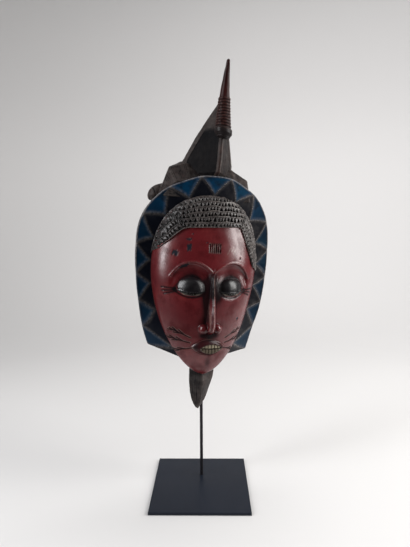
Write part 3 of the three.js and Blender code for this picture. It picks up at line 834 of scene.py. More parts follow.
# Radius of the hairline along a ray from the dome's middle: a nearly level line, cut by a slanting one
# each side, and on the right by a third that closes the hair's foot.
def hairlineRadius(angle):
    startX, startZ, acrossX, acrossZ = templeLine(angle)
    s, c = np.sin(angle), np.cos(angle)
    height, rise = hair["brow"]
    level = (height - head["centre"]) / np.maximum(c - rise * s, 0.05)
    reach = startX * acrossX + (startZ - head["centre"]) * acrossZ
    slant = reach / np.maximum(s * acrossX + c * acrossZ, 0.05)
    footHeight, footSlope = hair["foot"]
    foot = footHeight / np.maximum(c + footSlope * s, 0.05) * (angle > 1)
    return softMax(-softMax(-level, -slant, 6.0), foot, 3.0)


# Hair cap: at each angle a closed profile up the hairline's step, over the rows and down the outline.
# Rows run level over the forehead and slant with the hairline at the sides, meeting in a mitre; triangular
# notches sit side by side in them, each row half a notch on from the last.
def buildHair():
    angle = np.radians(np.linspace(*hair["reach"], hair["stations"]))[:, None]
    outer = outlineRadius(angle) + hair["overlap"]
    inner = np.minimum(hairlineRadius(angle), outer - 0.6)
    part = np.linspace(0, 1, hair["samples"])
    radius = mix(inner, outer, part)
    share = unit(radius / outlineRadius(angle))
    width = outer - inner
    lift = hair["raise"] * smooth(width, 0, 7) * (1 - 0.75 * smooth(np.abs(part - 0.5), 0.46, 0.5))
    forward = domeOf(share, angle) + lift
    foot = domeOf(unit(inner / outlineRadius(angle)), angle)
    edge = edgeForward(angle)
    loopRadius = np.concatenate([inner - 0.2, inner - 0.1, radius, outer + 0.1, outer], axis=1)
    loopForward = np.concatenate([foot - 4, foot - 0.6, forward, edge - 1, edge - 10], axis=1)
    x, z = onRay(head["centre"], angle, loopRadius)
    rings = gridOf(x, loopForward, z)
    startX, startZ, acrossX, acrossZ = templeLine(x)
    height, rise = hair["brow"]
    level = (z - height - rise * x) * (1 + hair["arch"] * (x / 60) ** 2)
    slant = (x - startX) * acrossX + (z - startZ) * acrossZ
    depthIn = np.maximum(level, slant) / hair["rowPitch"] + 0.12 * waver(x, z, 36, 31)
    row = np.floor(depthIn)
    q = 1 - (depthIn - row)
    alongSlant = startX + (x - startX) * acrossZ - (z - startZ) * acrossX
    rowArc = np.where(slant > level, alongSlant, x)
    phase = rowArc / hair["notchPitch"] + 0.5 * (row % 2) + 0.2 * waver(rowArc, row * 40, 26, 32)
    mitre = bell(slant - level, 1.2) * (depthIn > 1)
    p = np.abs((phase + 0.5) % 1 - 0.5)
    halfAt = 0.5 * unit((q - 0.1) / 0.76) * (q < 0.9)
    ragged = 0.07 * waver(x, z, 5.5, 33)
    notch = smooth(halfAt - p + ragged, -0.02, 0.1)
    furrow = bell(slant - level + 1.5, 3.2) * smooth(depthIn, 0.2, 1.2)
    furrow *= 0.55 + 0.45 * np.sin((x + 0.3 * z) * 2.4)
    notch = np.maximum(notch * (1 - mitre), 0.8 * furrow)
    cord = bell(np.minimum(q, 1 - q), 0.1) * (1 - furrow) * (0.75 + 0.25 * waver(x, z, 15, 34))
    onTop = np.zeros(loopRadius.shape[1])
    onTop[3:-3] = 1
    clear = smooth(width, 3, 9) * onTop * smooth(loopRadius - inner, 0.3, 1.6)
    relief = (hair["ridge"] * cord - hair["notchDepth"] * notch * (0.45 + 0.55 * q)) * clear
    rings = rings + gridNormals(rings) * relief[..., None]
    hairEdge = bell(loopRadius - inner, 1.3) * smooth(width, 2, 6)
    lip = bell(halfAt - p + ragged + 0.04, 0.05) * (q > 0.12) * (q < 0.9)
    # Painted light: dust on the ridges grows towards the viewer's right and thins on the left, standing in
    # for light from the right; the rest varies at random.
    sideLight = 0.75 + 0.25 * smooth(x, -30, 40) - 0.58 * smooth(-x, 28, 60)
    patchesAndSideLight = (0.75 + 0.25 * waver(x, z, 28, 35)) * sideLight
    raised = unit((0.75 * cord + 0.8 * lip + 0.10) * patchesAndSideLight + 0.5 * hairEdge)
    return skin("carvedHair", rings, {"pitAndShade": unit(notch * clear), "raised": raised * (1 - notch)})


collar = {
    "corners": ((-80.5, -80.2), (-91.5, -48.5), (-100, -8.5), (-105.5, 33.5),
                (-107.5, 77.5), (-101.3, 121.3), (-66.5, 162.5), (-23.5, 179.5),
                (23.5, 179.5), (66.5, 162), (100.8, 121.3), (107.5, 77.5),
                (106.3, 33.5), (101.7, -8.5), (93.3, -49), (83.3, -91)),   # left foot to right foot
    "swell": (0.5, 0.5, 0.8, 1.2, 2.2, 3.6, 0.5, 1.0,
              0.4, 4.2, 1.7, 0.8, 0.8, 1.0, 0.5),        # chord by chord
    "side": -6.0,
    "top": 43.0,
    "chin": -9.0,
    "innerSide": 0.9,
    "innerJaw": 0.95,
    "swing": (0.41, 0.345),          # how far down the jaw the inner edge reaches, left and right
    "chordSteps": 26,
    "cornerSoft": 5,
    "samples": 46,
    "lineHalf": 0.48,
    "lineDepth": 0.5,
    "dish": 0.7,
}


# Band of fifteen chords. Outer points run from corner to corner, swelling out by 4c(1 - c) of a few
# millimetres; inner points lie on the face outline, scaled in. Each chord carries a triangle with its
# base outside and its point at the face.
def buildCollar():
    corners = np.array(collar["corners"], float)
    steps = collar["chordSteps"]
    station = np.arange((len(corners) - 1) * steps + 1) / steps
    chord = np.minimum(np.floor(station), len(corners) - 2).astype(int)
    c = (station - chord)[:, None]
    outerX = corners[chord, :1] * (1 - c) + corners[chord + 1, :1] * c
    outerZ = corners[chord, 1:] * (1 - c) + corners[chord + 1, 1:] * c
    length = np.linalg.norm(corners[chord + 1] - corners[chord], axis=1)[:, None]
    swell = np.array(collar["swell"])[chord][:, None] * 4 * c * (1 - c)
    outerX -= (corners[chord + 1, 1:] - corners[chord, 1:]) / length * swell
    outerZ += (corners[chord + 1, :1] - corners[chord, :1]) / length * swell
    shifts = range(-collar["cornerSoft"], collar["cornerSoft"] + 1)
    last = len(station) - 1
    nearby = [np.clip(np.arange(len(station)) + shift, 0, last) for shift in shifts]
    outerX = sum(outerX[rows] for rows in nearby) / len(shifts)
    outerZ = sum(outerZ[rows] for rows in nearby) / len(shifts)
    angle = np.arctan2(outerX, outerZ - head["centre"])
    nearJaw = smooth(np.abs(angle), 2, 2.57)
    swing = np.where(angle < 0, collar["swing"][0], collar["swing"][1])
    innerAngle = np.sign(angle) * (np.abs(angle) + swing * nearJaw)
    scale = mix(collar["innerSide"], collar["innerJaw"], nearJaw)
    outline = outlineRadius(innerAngle)
    innerX, innerZ = onRay(head["centre"], innerAngle, scale * outline)
    innerF = edgeForward(innerAngle) - 1
    outerF = collar["side"] + collar["top"] * unit(np.cos(angle)) ** 4 + collar["chin"] * nearJaw
    band = np.hypot(outerX - innerX, outerZ - innerZ)
    covered = np.clip((outline * (1 - scale) + 3.0) / band, 0.06, 0.6)
    t = np.linspace(0, 1, collar["samples"])
    free = (t - covered) / (1 - covered)
    off = (np.abs(c - 0.5) - 0.5 * np.clip(free, -0.2, 1)) * length
    visible = band * (1 - covered)
    fromLine = off * visible / np.hypot(length / 2, visible)
    blue = fall(fromLine, -0.5, 0.3)
    line = fall(np.abs(fromLine + 0.3 * waver(c * length, t * band, 11, 41)), 0.2, collar["lineHalf"])
    line *= smooth(free, -0.1, 0.02)
    rim = smooth((1 - t) * band, 2.4, 0.9)
    inField = smooth(np.abs(fromLine), 0.6, 5)
    relief = -collar["lineDepth"] * line - collar["dish"] * inField * (1 - rim)
    relief = relief + 0.16 * waver(outerX + t * 9, outerZ, 13, 42)
    rounding = smooth(1 - t, 0.035, 0.0) * 0.9
    x, z = mix(innerX, outerX, t), mix(innerZ, outerZ, t)
    forward = mix(innerF, outerF, t) + relief - rounding
    backT = np.array([1.0, 1.0, 0.985, 0.9, 0.75, 0.6, 0.45, 0.3, 0.15, 0.0])
    backDrop = np.array([2.4, 5.2, 7.0, 7.0, 7.2, 7.6, 8.2, 8.8, 9.4, 10.0])
    backX, backZ = mix(innerX, outerX, backT), mix(innerZ, outerZ, backT)
    chisel = 0.35 * waver(backX, backZ, 15, 43) * (backT < 0.98)
    backF = mix(innerF, outerF, backT) - backDrop + chisel
    both = [np.concatenate(pair, axis=1) for pair in ((x, backX), (forward, backF), (z, backZ))]
    worn = np.maximum(smooth(outerZ, 15, 75), 0.6 * smooth(outerX, 0, 60)) * 0.85 + 0.15
    pairs = {                        # mask on the front, mask on the edge and back
        "blue": (blue * fall(free, 0.0, -0.05), 0.0),
        # Painted shade darkens the blue towards the sides; dust and a painted sheen grey the black towards
        # the viewer's right.
        "stainsAndSideShade": (0.75 * smooth(np.abs(angle), 0.45, 0.95), 0.0),
        "line": (line * (0.3 + 0.7 * smooth(x, -60, 30)), 0.0),
        "dustAndSheen": (smooth(x, -10, 60), 0.0),
        "raised": (unit(rim * 0.8 * worn + 0.25 * (1 - inField)), 0.5 * worn * (backDrop < 6)),
        "behind": (0.0, backDrop > 6),
    }
    masks = {}
    for name, (front, back) in pairs.items():
        front, back = np.broadcast_to(front, x.shape), np.broadcast_to(back, backX.shape)
        masks[name] = np.concatenate([front, back], axis=1)
    return skin("triangleCollar", gridOf(*both), masks)


block = {
    "rows": ((18, 58, 166, 37, 173), (-5, 64, 188, 38, 199),
             (-22, 60.5, 192, 41, 204.5), (-46, 55, 183, 36, 194)),  # forward, half, corner, inner half, top
    "foot": 148.0,
    "middle": 160.0,                 # height that the front and back faces shrink to
    "tilt": 4.0,
    "stations": 80,
    "faceRings": 26,
    "spread": (16.0, 4.0),           # how far the foot stands out past the upper corners, left and right
    "linePitch": 2.3,
    "lineDepth": 0.3,
}


# Block of hair: the six-cornered section of each row, blended front to back, closed by shrinking rings.
# Fine broken lines run front to back over the slopes and upright down the front and back.
def buildBlock():
    rows = np.array(block["rows"], float)[::-1]
    forward = np.linspace(rows[0, 0], rows[-1, 0], block["stations"])
    half, corner, innerHalf, top = readRows(rows, forward)
    foot, tilt = np.full_like(half, block["foot"]), block["tilt"]
    spreadLeft, spreadRight = block["spread"]
    cornersX = np.stack([-half - spreadLeft, -half, -innerHalf, innerHalf, half, half + spreadRight], 1)
    cornersZ = np.stack([foot, corner + tilt, top + tilt / 2, top - tilt / 2, corner - tilt, foot], 1)
    x, z = walk((36, 30, 70, 30, 36, 100), 2, cornersX, cornersZ)
    body = gridOf(x, forward[:, None], z)
    shrink = np.linspace(0.03, 1, block["faceRings"])[:, None, None]
    backMiddle = np.array([0.0, forward[0], block["middle"]])
    frontMiddle = np.array([0.0, forward[-1], block["middle"]])
    backRings = mix(backMiddle, body[0], shrink[:-1])
    frontRings = mix(frontMiddle, body[-1], shrink[:-1][::-1])
    rings = np.concatenate([backRings, body, frontRings])
    section = body[len(body) // 2]
    path = np.cumsum(np.linalg.norm(np.diff(section, axis=0, prepend=section[:1]), axis=1))
    onBody = np.zeros((len(rings), 1))
    onBody[len(backRings):-len(frontRings)] = 1
    pitch = block["linePitch"]
    unsteady = 0.5 * waver(rings[..., 0], rings[..., 1] + rings[..., 2], 22, 52)
    sloped = grooves(path + unsteady, pitch, 0.9) * onBody
    upright = grooves(rings[..., 0] + unsteady, pitch, 0.9) * (1 - onBody)
    cut = np.maximum(sloped, upright) * smooth(waver(rings[..., 0], rings[..., 2], 11, 53), -0.6, 0.8)
    inset = block["lineDepth"] * cut + 0.3 * waver(rings[..., 0], rings[..., 2] + rings[..., 1], 14, 51)
    normals = gridNormals(rings)
    normals[:len(backRings)] = (0, -1, 0)
    normals[-len(frontRings):] = (0, 1, 0)
    rings = rings - normals * np.clip(inset, 0, None)[..., None]
    bends = np.abs(np.gradient(np.gradient(section, axis=0), axis=0))
    edge = bends[:, 2] + bends[:, 0]
    raised = (1 - cut) * (0.55 + 0.45 * smooth(edge, 0.02, 0.2) * onBody)
    return skin("hairBlock", rings, {"pitAndShade": cut, "raised": unit(raised)})


braid = {
    "half": 87.0, "radius": 14.0, "forward": -46.0, "endHeight": 152.5, "topHeight": 166.0,
    "stations": 260, "around": 72, "twists": 9.0, "grooveDepth": 0.7,
}


# Braid: a tube whose x is -cos of an even angle, arching between its ends, with domed ends
# and slanting grooves that wind round it like the strands of a rope.
def buildBraid():
    even = np.linspace(0, np.pi, braid["stations"])[:, None]
    swing = -np.cos(even)
    turn = np.arange(braid["around"]) * 2 * np.pi / braid["around"]
    arch = 1 - np.abs(swing) ** 2.5
    height = mix(braid["endHeight"], braid["topHeight"], arch)
    radius = braid["radius"] * np.maximum(0.06, np.sqrt(unit(1 - np.abs(swing) ** 13)))
    strand = swing * braid["twists"] + turn / (2 * np.pi) * 2 + 0.06 * waver(swing * 9, turn, 3, 61)
    cut = grooves(strand, 1.0, 0.12) * smooth(1 - np.abs(swing), 0.003, 0.03)
    radius = radius - braid["grooveDepth"] * cut - 0.2 + 0.2 * waver(swing * 88, turn * 13, 16, 62)
    radius = np.maximum(radius, 0.4)
    forward = braid["forward"] + radius * np.cos(turn)
    rings = gridOf(swing * braid["half"], forward, height + radius * np.sin(turn))
    return skin("backBraid", rings, {"pitAndShade": cut, "raised": 0.7 * (1 - cut)})


crest = {
    "rows": ((150, 43, 16, -30), (179, 42.5, 28, -26), (186, 42, 41, -24), (206, 41, 45, -18),
             (240, 27, 47, 3), (262, 16, 46, 17), (284, 4.5, 44, 34)),      # height, half, front, back
    "ridge": 1.6,
    "stations": 284,
    "sunk": 0.9,
    "hatchPitch": 2.2,
    "hatchDepth": 0.4,
    "frontMargin": 4.5,
    "backMargin": 10.0,
}


# Crest: at each height a nine-cornered section with a narrow front ridge, two broad sides and a back.
# Each side has a sunk panel, hatched both ways, inside a plain band.
def buildCrest():
    rows = np.array(crest["rows"], float)
    z = np.linspace(rows[0, 0], rows[-1, 0], crest["stations"])
    half, front, back = readRows(rows, z)
    ridge, middle, zero = np.full_like(z, crest["ridge"]), mix(front, back, 0.46), np.zeros_like(z)
    cornersX = np.stack([
        -ridge, zero, ridge, half * 0.5, half, half * 0.85, -half * 0.85, -half, -half * 0.5,
    ], 1)
    cornersF = np.stack([front - 1, front, front - 1, middle, back, back - 3, back - 3, back, middle], 1)
    x, forward = walk((6, 6, 60, 66, 10, 60, 10, 66, 60), 2, cornersX, cornersF)
    rings = gridOf(x, forward, z[:, None])
    fromFront = np.hypot(np.abs(x) - crest["ridge"], forward - front[:, None])
    sideLength = np.hypot(half - crest["ridge"], back - front)[:, None]
    onSide = (forward > back[:, None] + 1.0) & (np.abs(x) > crest["ridge"])
    panel = smooth(fromFront, crest["frontMargin"], crest["frontMargin"] + 0.9)
    panel *= smooth(sideLength - fromFront, crest["backMargin"], crest["backMargin"] + 0.9)
    panel *= onSide * fall(z, 243, 252)[:, None]
    across, up = fromFront, rings[..., 2]
    pitch = crest["hatchPitch"]
    hatch = np.maximum(grooves(across * 0.8 + up, pitch, 0.8), 0.6 * grooves(across * 0.8 - up, pitch, 0.8))
    backLines = grooves(x + 2.0, 5.2, 1.2) * (forward < back[:, None] - 1.5)
    cut = np.maximum(hatch * panel, 0.8 * backLines)
    inset = crest["sunk"] * panel + crest["hatchDepth"] * cut + 0.18 * waver(across, up, 12, 71)
    rings = rings - gridNormals(rings) * np.clip(inset, -0.05, None)[..., None]
    # Painted shade: the left panel and the crest towards its top are darker, and the right side lighter, as
    # lit from the right.
    shadedLeftPanel = panel * smooth(-x, 0, 2)
    frontRidge = bell(fromFront - 1, 2.0)
    shaded = 0.25 * smooth(z, 215, 262)[:, None] - 0.25 * smooth(x, 1, 4)
    raised = unit((1 - cut) * (0.75 - 0.25 * panel - 0.35 * shadedLeftPanel - shaded))
    masks = {
        "pitAndShade": unit(0.6 * cut + 0.15 * panel + 0.6 * shadedLeftPanel + 0.3 * shaded),
        "raised": raised * (1 - 0.7 * frontRidge),
        "brown": unit(frontRidge + 0.4 * onSide * (1 - panel)),
    }
    return skin("carvedCrest", rings, masks)


horn = {
    "foot": 233.0, "tip": 338.5, "straightest": 278.0, "forward": 45.5, "bend": 0.0024,
    "lipRadius": 12.8, "lipEdge": 239.0, "lipTop": 246.0, "lipTilt": 0.14,
    "ringCount": 10, "ringFirst": 249.5, "ringPitch": 4.1, "ringRaise": 1.25,
    "ringFoot": 10.2, "ringTop": 7.6, "tipRadius": 2.4,
    "stations": 330, "around": 84,
}


# Horn: radius by height as a flared lip, then ten bulging rings, then a smooth taper to a blunt point;
# its middle bends forward with the square of the distance from its straightest height.
def buildHorn():
    foot, tip, lipTop = horn["foot"], horn["tip"], horn["lipTop"]
    first, pitch = horn["ringFirst"], horn["ringPitch"]
    z = np.linspace(foot, tip, horn["stations"])[:, None]
    turn = np.arange(horn["around"]) * 2 * np.pi / horn["around"]
    ringEnd = first + horn["ringCount"] * pitch
    part = unit((z - first) / (ringEnd - pitch - first))
    bump = np.sqrt(np.abs(np.cos(np.pi * (z - first) / pitch)))
    ringed = mix(horn["ringFoot"], horn["ringTop"], part) - 0.5 + (horn["ringRaise"] + 0.5) * bump
    taper = unit((z - ringEnd) / (tip - 2 - ringEnd))
    cone = mix(horn["ringTop"] - 0.3, horn["tipRadius"], taper)
    blunt = unit((z - tip + 2.4) / 2.45)
    cone *= np.sqrt(np.clip(1 - blunt ** 2, 0.02, 1))
    radius = mix(ringed, cone, smooth(z, ringEnd - 2.6, ringEnd - 1.2))
    lipShape = horn["lipRadius"] * (0.72 + 0.28 * smooth(z, foot, horn["lipEdge"]))
    lipShape -= 1.6 * smooth(z, lipTop - 2.2, lipTop)
    radius = mix(radius, lipShape, fall(z, lipTop - 0.3, lipTop + 0.9))
    ringZone = window(z, (lipTop, lipTop + 2), (ringEnd - 3, ringEnd - 1))
    nick = grooves(turn * 8.5 + np.floor((z - first) / pitch + 0.5) * 3.1, 5.2, 0.9) * ringZone
    groove = fall(bump, 0.35, 0.8) * ringZone
    radius = radius - 0.3 * nick + 0.1 * waver(z, turn * 8, 13, 81)
    forward = horn["forward"] + horn["bend"] * (z - horn["straightest"]) ** 2
    tilt = horn["lipTilt"] * fall(z, lipTop - 4, lipTop + 22)
    x = radius * np.sin(turn)
    rings = gridOf(x, forward + radius * np.cos(turn), z - tilt * x)
    neck = smooth(z, lipTop, lipTop + 1) * (1 - ringZone) * (z < 250)
    lipWear = bell(z - lipTop + 1.5, 1.6)
    return skin("ringedHorn", rings, {
        "pitAndShade": unit(groove + 0.5 * nick + 0.6 * neck),
        "raised": unit(0.7 * bump * ringZone * (1 - nick) + 0.6 * lipWear),
        "red": smooth(z, lipTop, lipTop + 3),
    })


beard = {
    "rows": ((-110, 18, 12, 6, -7), (-119, 18, 18, 8, -7), (-128, 17.8, 25.5, 9, -7), (-138, 17, 23, 7, -7),
             (-152, 14.5, 19, 5, -7), (-164, 11, 15, 4, -6), (-173, 6.5, 11, 2, -4),
             (-179, 2.5, 5, 1, -1)),        # height, half, front, side, back
    "rightExtra": 4.0,
    "stations": 150,
    "linePitch": 2.9,
    "lineDepth": 0.45,
}


# Beard: a prow with a sharp front edge, narrowing to its tip, with fine upright lines in its two faces.
def buildBeard():
    rows = np.array(beard["rows"], float)[::-1]
    z = np.linspace(rows[0, 0], rows[-1, 0], beard["stations"])
    half, front, side, back = readRows(rows, z)
    middle = (side + front) / 2 + 1
    zero = np.zeros_like(z)
    right = half + beard["rightExtra"] * smooth(z, -150, -112)
    cornersX = np.stack([-half * 0.8, -half, -half * 0.5, zero, right * 0.5, right, right * 0.8], 1)
    cornersF = np.stack([back, side, middle, front, middle, side, back], 1)
    x, forward = walk((26, 20, 22, 22, 20, 26, 36), 1, cornersX, cornersF)
    rings = gridOf(x, forward, z[:, None])
    place = x / half[:, None] * 17
    fan = place + 0.35 * waver(place, rings[..., 2] / 4, 9, 91)
    lines = grooves(fan + 1.45, beard["linePitch"], 0.8) * (forward > side[:, None] - 3)
    lines = lines * (1 - 0.7 * smooth(z, -155, -125)[:, None])
    lines = lines * (0.6 + 0.4 * waver(place, rings[..., 2] / 3, 8, 93))
    backLines = grooves(fan, 4.4, 0.9) * (forward < side[:, None] - 3)
    cut = np.maximum(lines, backLines) * smooth(z, -175, -168)[:, None]
    inset = beard["lineDepth"] * cut + 0.12 * waver(place, rings[..., 2], 11, 92)
    rings = rings - gridNormals(rings) * np.clip(inset, -0.05, None)[..., None]
    prow = bell(x, 1.6) * (forward > side[:, None])
    upper = smooth(z, -150, -118)[:, None]
    ahead = forward > side[:, None] - 3
    # Painted shade: the prow's left face darker, more so towards the top.
    shaded = smooth(-x, 0.5, 3.5) * (0.4 + 0.35 * upper) * ahead
    masks = {
        "pitAndShade": unit(0.75 * cut + shaded),
        "raised": unit(0.55 * (1 - cut) * (1 - 0.5 * shaded) + 0.5 * prow),
        "brown": bell(x - 4, 4) * upper * ahead,
    }
    return skin("prowBeard", rings, masks)


hairFinish = {
    "base": (0.022, 0.019, 0.019, 1), "pitAndShade": (0.003, 0.003, 0.003, 1), "dust": (0.36, 0.31, 0.285, 1),
    "brown": (0.035, 0.022, 0.022, 1), "mottling": 0.3, "streaks": 0.12, "rubbing": (0.9, 230.0),
    "shader": {"IOR": 1.48, "Specular IOR Level": 0.5}, "roughness": (0.28, 0.48),
}
crestFinish = {
    "base": (0.008, 0.0075, 0.009, 1), "pitAndShade": (0.003, 0.003, 0.004, 1), "dust": (0.135, 0.115, 0.105, 1),
    "brown": (0.042, 0.022, 0.018, 1), "mottling": 0.45, "streaks": 0.35, "rubbing": (0.6, 120.0),
    "shader": {"IOR": 1.48, "Specular IOR Level": 0.14}, "roughness": (0.38, 0.58),
}
woodFinish = {
    "drift": (24.0, 0.45), "grain": (190.0, 0.1), "mottles": (70.0, 0.5, 0.16), "bump": (0.4, 0.0014),
}


# Blackened wood: dark base with darker cuts and painted shade, grain, and dust rubbed on whatever stands
# proud.
def blackWood(name, finish):
    material, tree, shader, coords = newMaterial(name, finish["shader"])
    base = driftOf(tree, coords, finish["base"], *woodFinish["drift"])
    streaks = grainOf(tree, coords, *woodFinish["grain"])
    lighter = times(tree, remap(tree, streaks, 0.5, 0.7), finish["streaks"])
    colour = layer(tree, lighter, base, finish["dust"])
    mottled = patchesOf(tree, coords, *woodFinish["mottles"])
    brownCover = times(tree, mask(tree, "brown"), remap(tree, mottled, 0.0, 1.0, 0.35, 1.0))
    brownCover = calc(tree, "MAXIMUM", brownCover, times(tree, mottled, finish["mottling"]))
    colour = layer(tree, brownCover, colour, finish["brown"])
    # The pit mask darkens the cuts, and lays painted shade on the crest and beard.
    pitAndShade = mask(tree, "pitAndShade")
    colour = layer(tree, pitAndShade, colour, finish["pitAndShade"])
    rough = remap(tree, streaks, 0.3, 0.7, *finish["roughness"])
    raised = mask(tree, "raised")
    feed(tree, shader, {
        "Base Color": dustOn(tree, coords, colour, finish["dust"], raised, *finish["rubbing"]),
        "Roughness": addShare(tree, rough, pitAndShade, 0.3),
    }, streaks, *woodFinish["bump"])
    return material


hornFinish = {
    "red": (0.028, 0.0055, 0.005, 1), "dark": (0.005, 0.0035, 0.0035, 1), "lip": (0.014, 0.010, 0.010, 1),
    "dust": (0.11, 0.060, 0.050, 1), "rubbing": (0.5, 160.0), "roughness": (0.36, 0.52),
    "shader": {"IOR": 1.5, "Specular IOR Level": 0.18}, "grain": (170.0, 0.08), "drift": (40.0, 0.5),
    "bump": (0.5, 0.0014),
}


# Horn: dark red-brown over black, with black ring gaps and lightly rubbed rings.
def hornMaterial():
    material, tree, shader, coords = newMaterial("redBrownHorn", hornFinish["shader"])
    streaks = grainOf(tree, coords, *hornFinish["grain"])
    red = driftOf(tree, coords, hornFinish["red"], *hornFinish["drift"])
    colour = layer(tree, mask(tree, "red"), hornFinish["lip"], red)
    darkStreaks = times(tree, remap(tree, streaks, 0.5, 0.68), 0.6)
    colour = layer(tree, darkStreaks, colour, hornFinish["dark"])
    colour = layer(tree, mask(tree, "pitAndShade"), colour, hornFinish["dark"])
    raised = mask(tree, "raised")
    feed(tree, shader, {
        "Base Color": dustOn(tree, coords, colour, hornFinish["dust"], raised, *hornFinish["rubbing"]),
        "Roughness": remap(tree, streaks, 0.3, 0.7, *hornFinish["roughness"]),
    }, streaks, *hornFinish["bump"])
    return material


collarFinish = {
    "blue": (0.001, 0.033, 0.082, 1),
    "deepBlue": (0.001, 0.008, 0.019, 1),
    "black": (0.0035, 0.0045, 0.009, 1),
    "dustAndSheen": (0.022, 0.021, 0.024, 1),
    "teal": (0.002, 0.060, 0.115, 1),
    "line": (0.46, 0.41, 0.38, 1),
    "back": (0.040, 0.026, 0.019, 1),
    "roughness": (0.38, 0.52),
    "shader": {"IOR": 1.5, "Specular IOR Level": 0.14},
    "drift": (30.0, 0.5),
    "stains": (75.0, 0.53, 0.12),
    "tealPatches": (22.0, 0.54, 0.08),
    "grain": (200.0, 0.1),
    "rubbing": (1.0, 260.0),
    "bump": (0.3, 0.0012),
}


# Collar: worn blue triangles on black, darkened by stains and by painted shade at the sides, pale scored
# lines between them, rubbed outer edge, bare back; the black is greyed towards the right by dust and a
# painted sheen.
def collarMaterial():
    material, tree, shader, coords = newMaterial("blueAndBlackPaint", collarFinish["shader"])
    blue = driftOf(tree, coords, collarFinish["blue"], *collarFinish["drift"])
    stains = patchesOf(tree, coords, *collarFinish["stains"])
    teal = patchesOf(tree, coords, *collarFinish["tealPatches"])
    blue = layer(tree, times(tree, teal, 0.7), blue, collarFinish["teal"])
    # Stains, and painted shade at the sides, darken the blue.
    stainsAndSideShade = calc(tree, "MAXIMUM", times(tree, stains, 0.85), mask(tree, "stainsAndSideShade"))
    blue = layer(tree, stainsAndSideShade, blue, collarFinish["deepBlue"])
    # Dust and a painted sheen grey the black towards the viewer's right.
    greyed = times(tree, mask(tree, "dustAndSheen"), remap(tree, stains, 0.0, 1.0, 0.35, 1.0))
    black = layer(tree, greyed, collarFinish["black"], collarFinish["dustAndSheen"])
    colour = layer(tree, mask(tree, "blue"), black, blue)
    streaks = grainOf(tree, coords, *collarFinish["grain"])
    back = layer(tree, remap(tree, streaks, 0.4, 0.65), collarFinish["back"], collarFinish["black"])
    colour = layer(tree, mask(tree, "behind"), colour, back)
    worn = calc(tree, "MAXIMUM", mask(tree, "line"), times(tree, mask(tree, "raised"), 0.6))
    feed(tree, shader, {
        "Base Color": dustOn(tree, coords, colour, collarFinish["line"], worn, *collarFinish["rubbing"]),
        "Roughness": remap(tree, stains, 0.0, 1.0, *collarFinish["roughness"]),
    }, streaks, *collarFinish["bump"])
    return material


steelFinish = {                      # colour and roughness of each node, and the colour of its dust
    "plate": ((0.010, 0.013, 0.021, 1), 0.3),
    "rod": ((0.014, 0.013, 0.016, 1), 0.36),
    "dust": (0.25, 0.24, 0.23, 1),
    "shader": {"IOR": 1.5, "Specular IOR Level": 0.18},
    "drift": (9.0, 0.25),
    "specks": (420.0, 0.72, 0.02),
    "smudge": (14.0, 3.0),           # scale, finer layers
    "peel": (900.0, 2.0),
    "bump": (0.06, 0.0004),
}


# Satin black paint on steel: faint orange peel, a little dust, slow changes of gloss.
def steelMaterial(name, colour, roughness):
    material, tree, shader, coords = newMaterial(name, steelFinish["shader"])
    base = driftOf(tree, coords, colour, *steelFinish["drift"])
    specks = patchesOf(tree, coords, *steelFinish["specks"])
    smudge = noise(tree, coords, *steelFinish["smudge"])
    feed(tree, shader, {
        "Base Color": layer(tree, times(tree, specks, 0.35), base, steelFinish["dust"]),
        "Roughness": remap(tree, smudge, 0.3, 0.7, roughness, roughness + 0.09),
    }, noise(tree, coords, *steelFinish["peel"]), *steelFinish["bump"])
    return material


def dress(piece, material):
    piece.data.materials.append(material)
    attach(piece, "root")
    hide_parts("mask")


print("carving the pieces")
hairWood = blackWood("dustyBlackHair", hairFinish)
crestWood = blackWood("weatheredBlackWood", crestFinish)
maskFace = buildFace()
dress(maskFace, faceMaterial())
paintLids(maskFace)
dress(buildHair(), hairWood)
dress(buildCollar(), collarMaterial())
dress(buildBlock(), crestWood)
dress(buildBraid(), crestWood)
dress(buildCrest(), crestWood)
dress(buildHorn(), hornMaterial())
dress(buildBeard(), crestWood)

print("painting the stand")
for part in ("plate", "rod"):
    finish = steelMaterial("satinBlack" + part.capitalize(), *steelFinish[part])
    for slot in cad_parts["stand_" + part].material_slots:
        slot.material = finish


studio = {
    "floorRadius": 1.0,
    "bend": 1.8,
    "wallHeight": 2.6,
    "below": 0.0003,                 # how far the floor lies under the plate, in metres
    "pale": (0.745, 0.735, 0.73, 1),
    "dim": (0.05, 0.05, 0.053, 1),
    "around": 96,
    "world": (0.93, 0.95, 1.0, 1),
    "worldStrength": 0.06,
}
lights = {                           # place, aim, size, power, colour, whether it shows in reflections
    "windowRight": ((1.28, -0.20, 0.90), (0.0, 0.0, 0.42), (0.6, 1.3), 25, (1.0, 0.99, 0.97), True),
    "windowLeft": ((-1.02, -0.60, 0.85), (0.0, 0.0, 0.40), (0.32, 1.1), 14.5, (0.97, 0.98, 1.0), True),
    "wallWash": ((0.55, 0.5, 1.9), (0.45, 2.5, 0.6), (1.6, 1.0), 42, (1.0, 0.99, 0.985), False),
    "floorWash": ((0.1, 0.05, 2.1), (0.0, 0.0, 0.0), (1.6, 1.0), 7, (1.0, 0.995, 0.99), False),
}


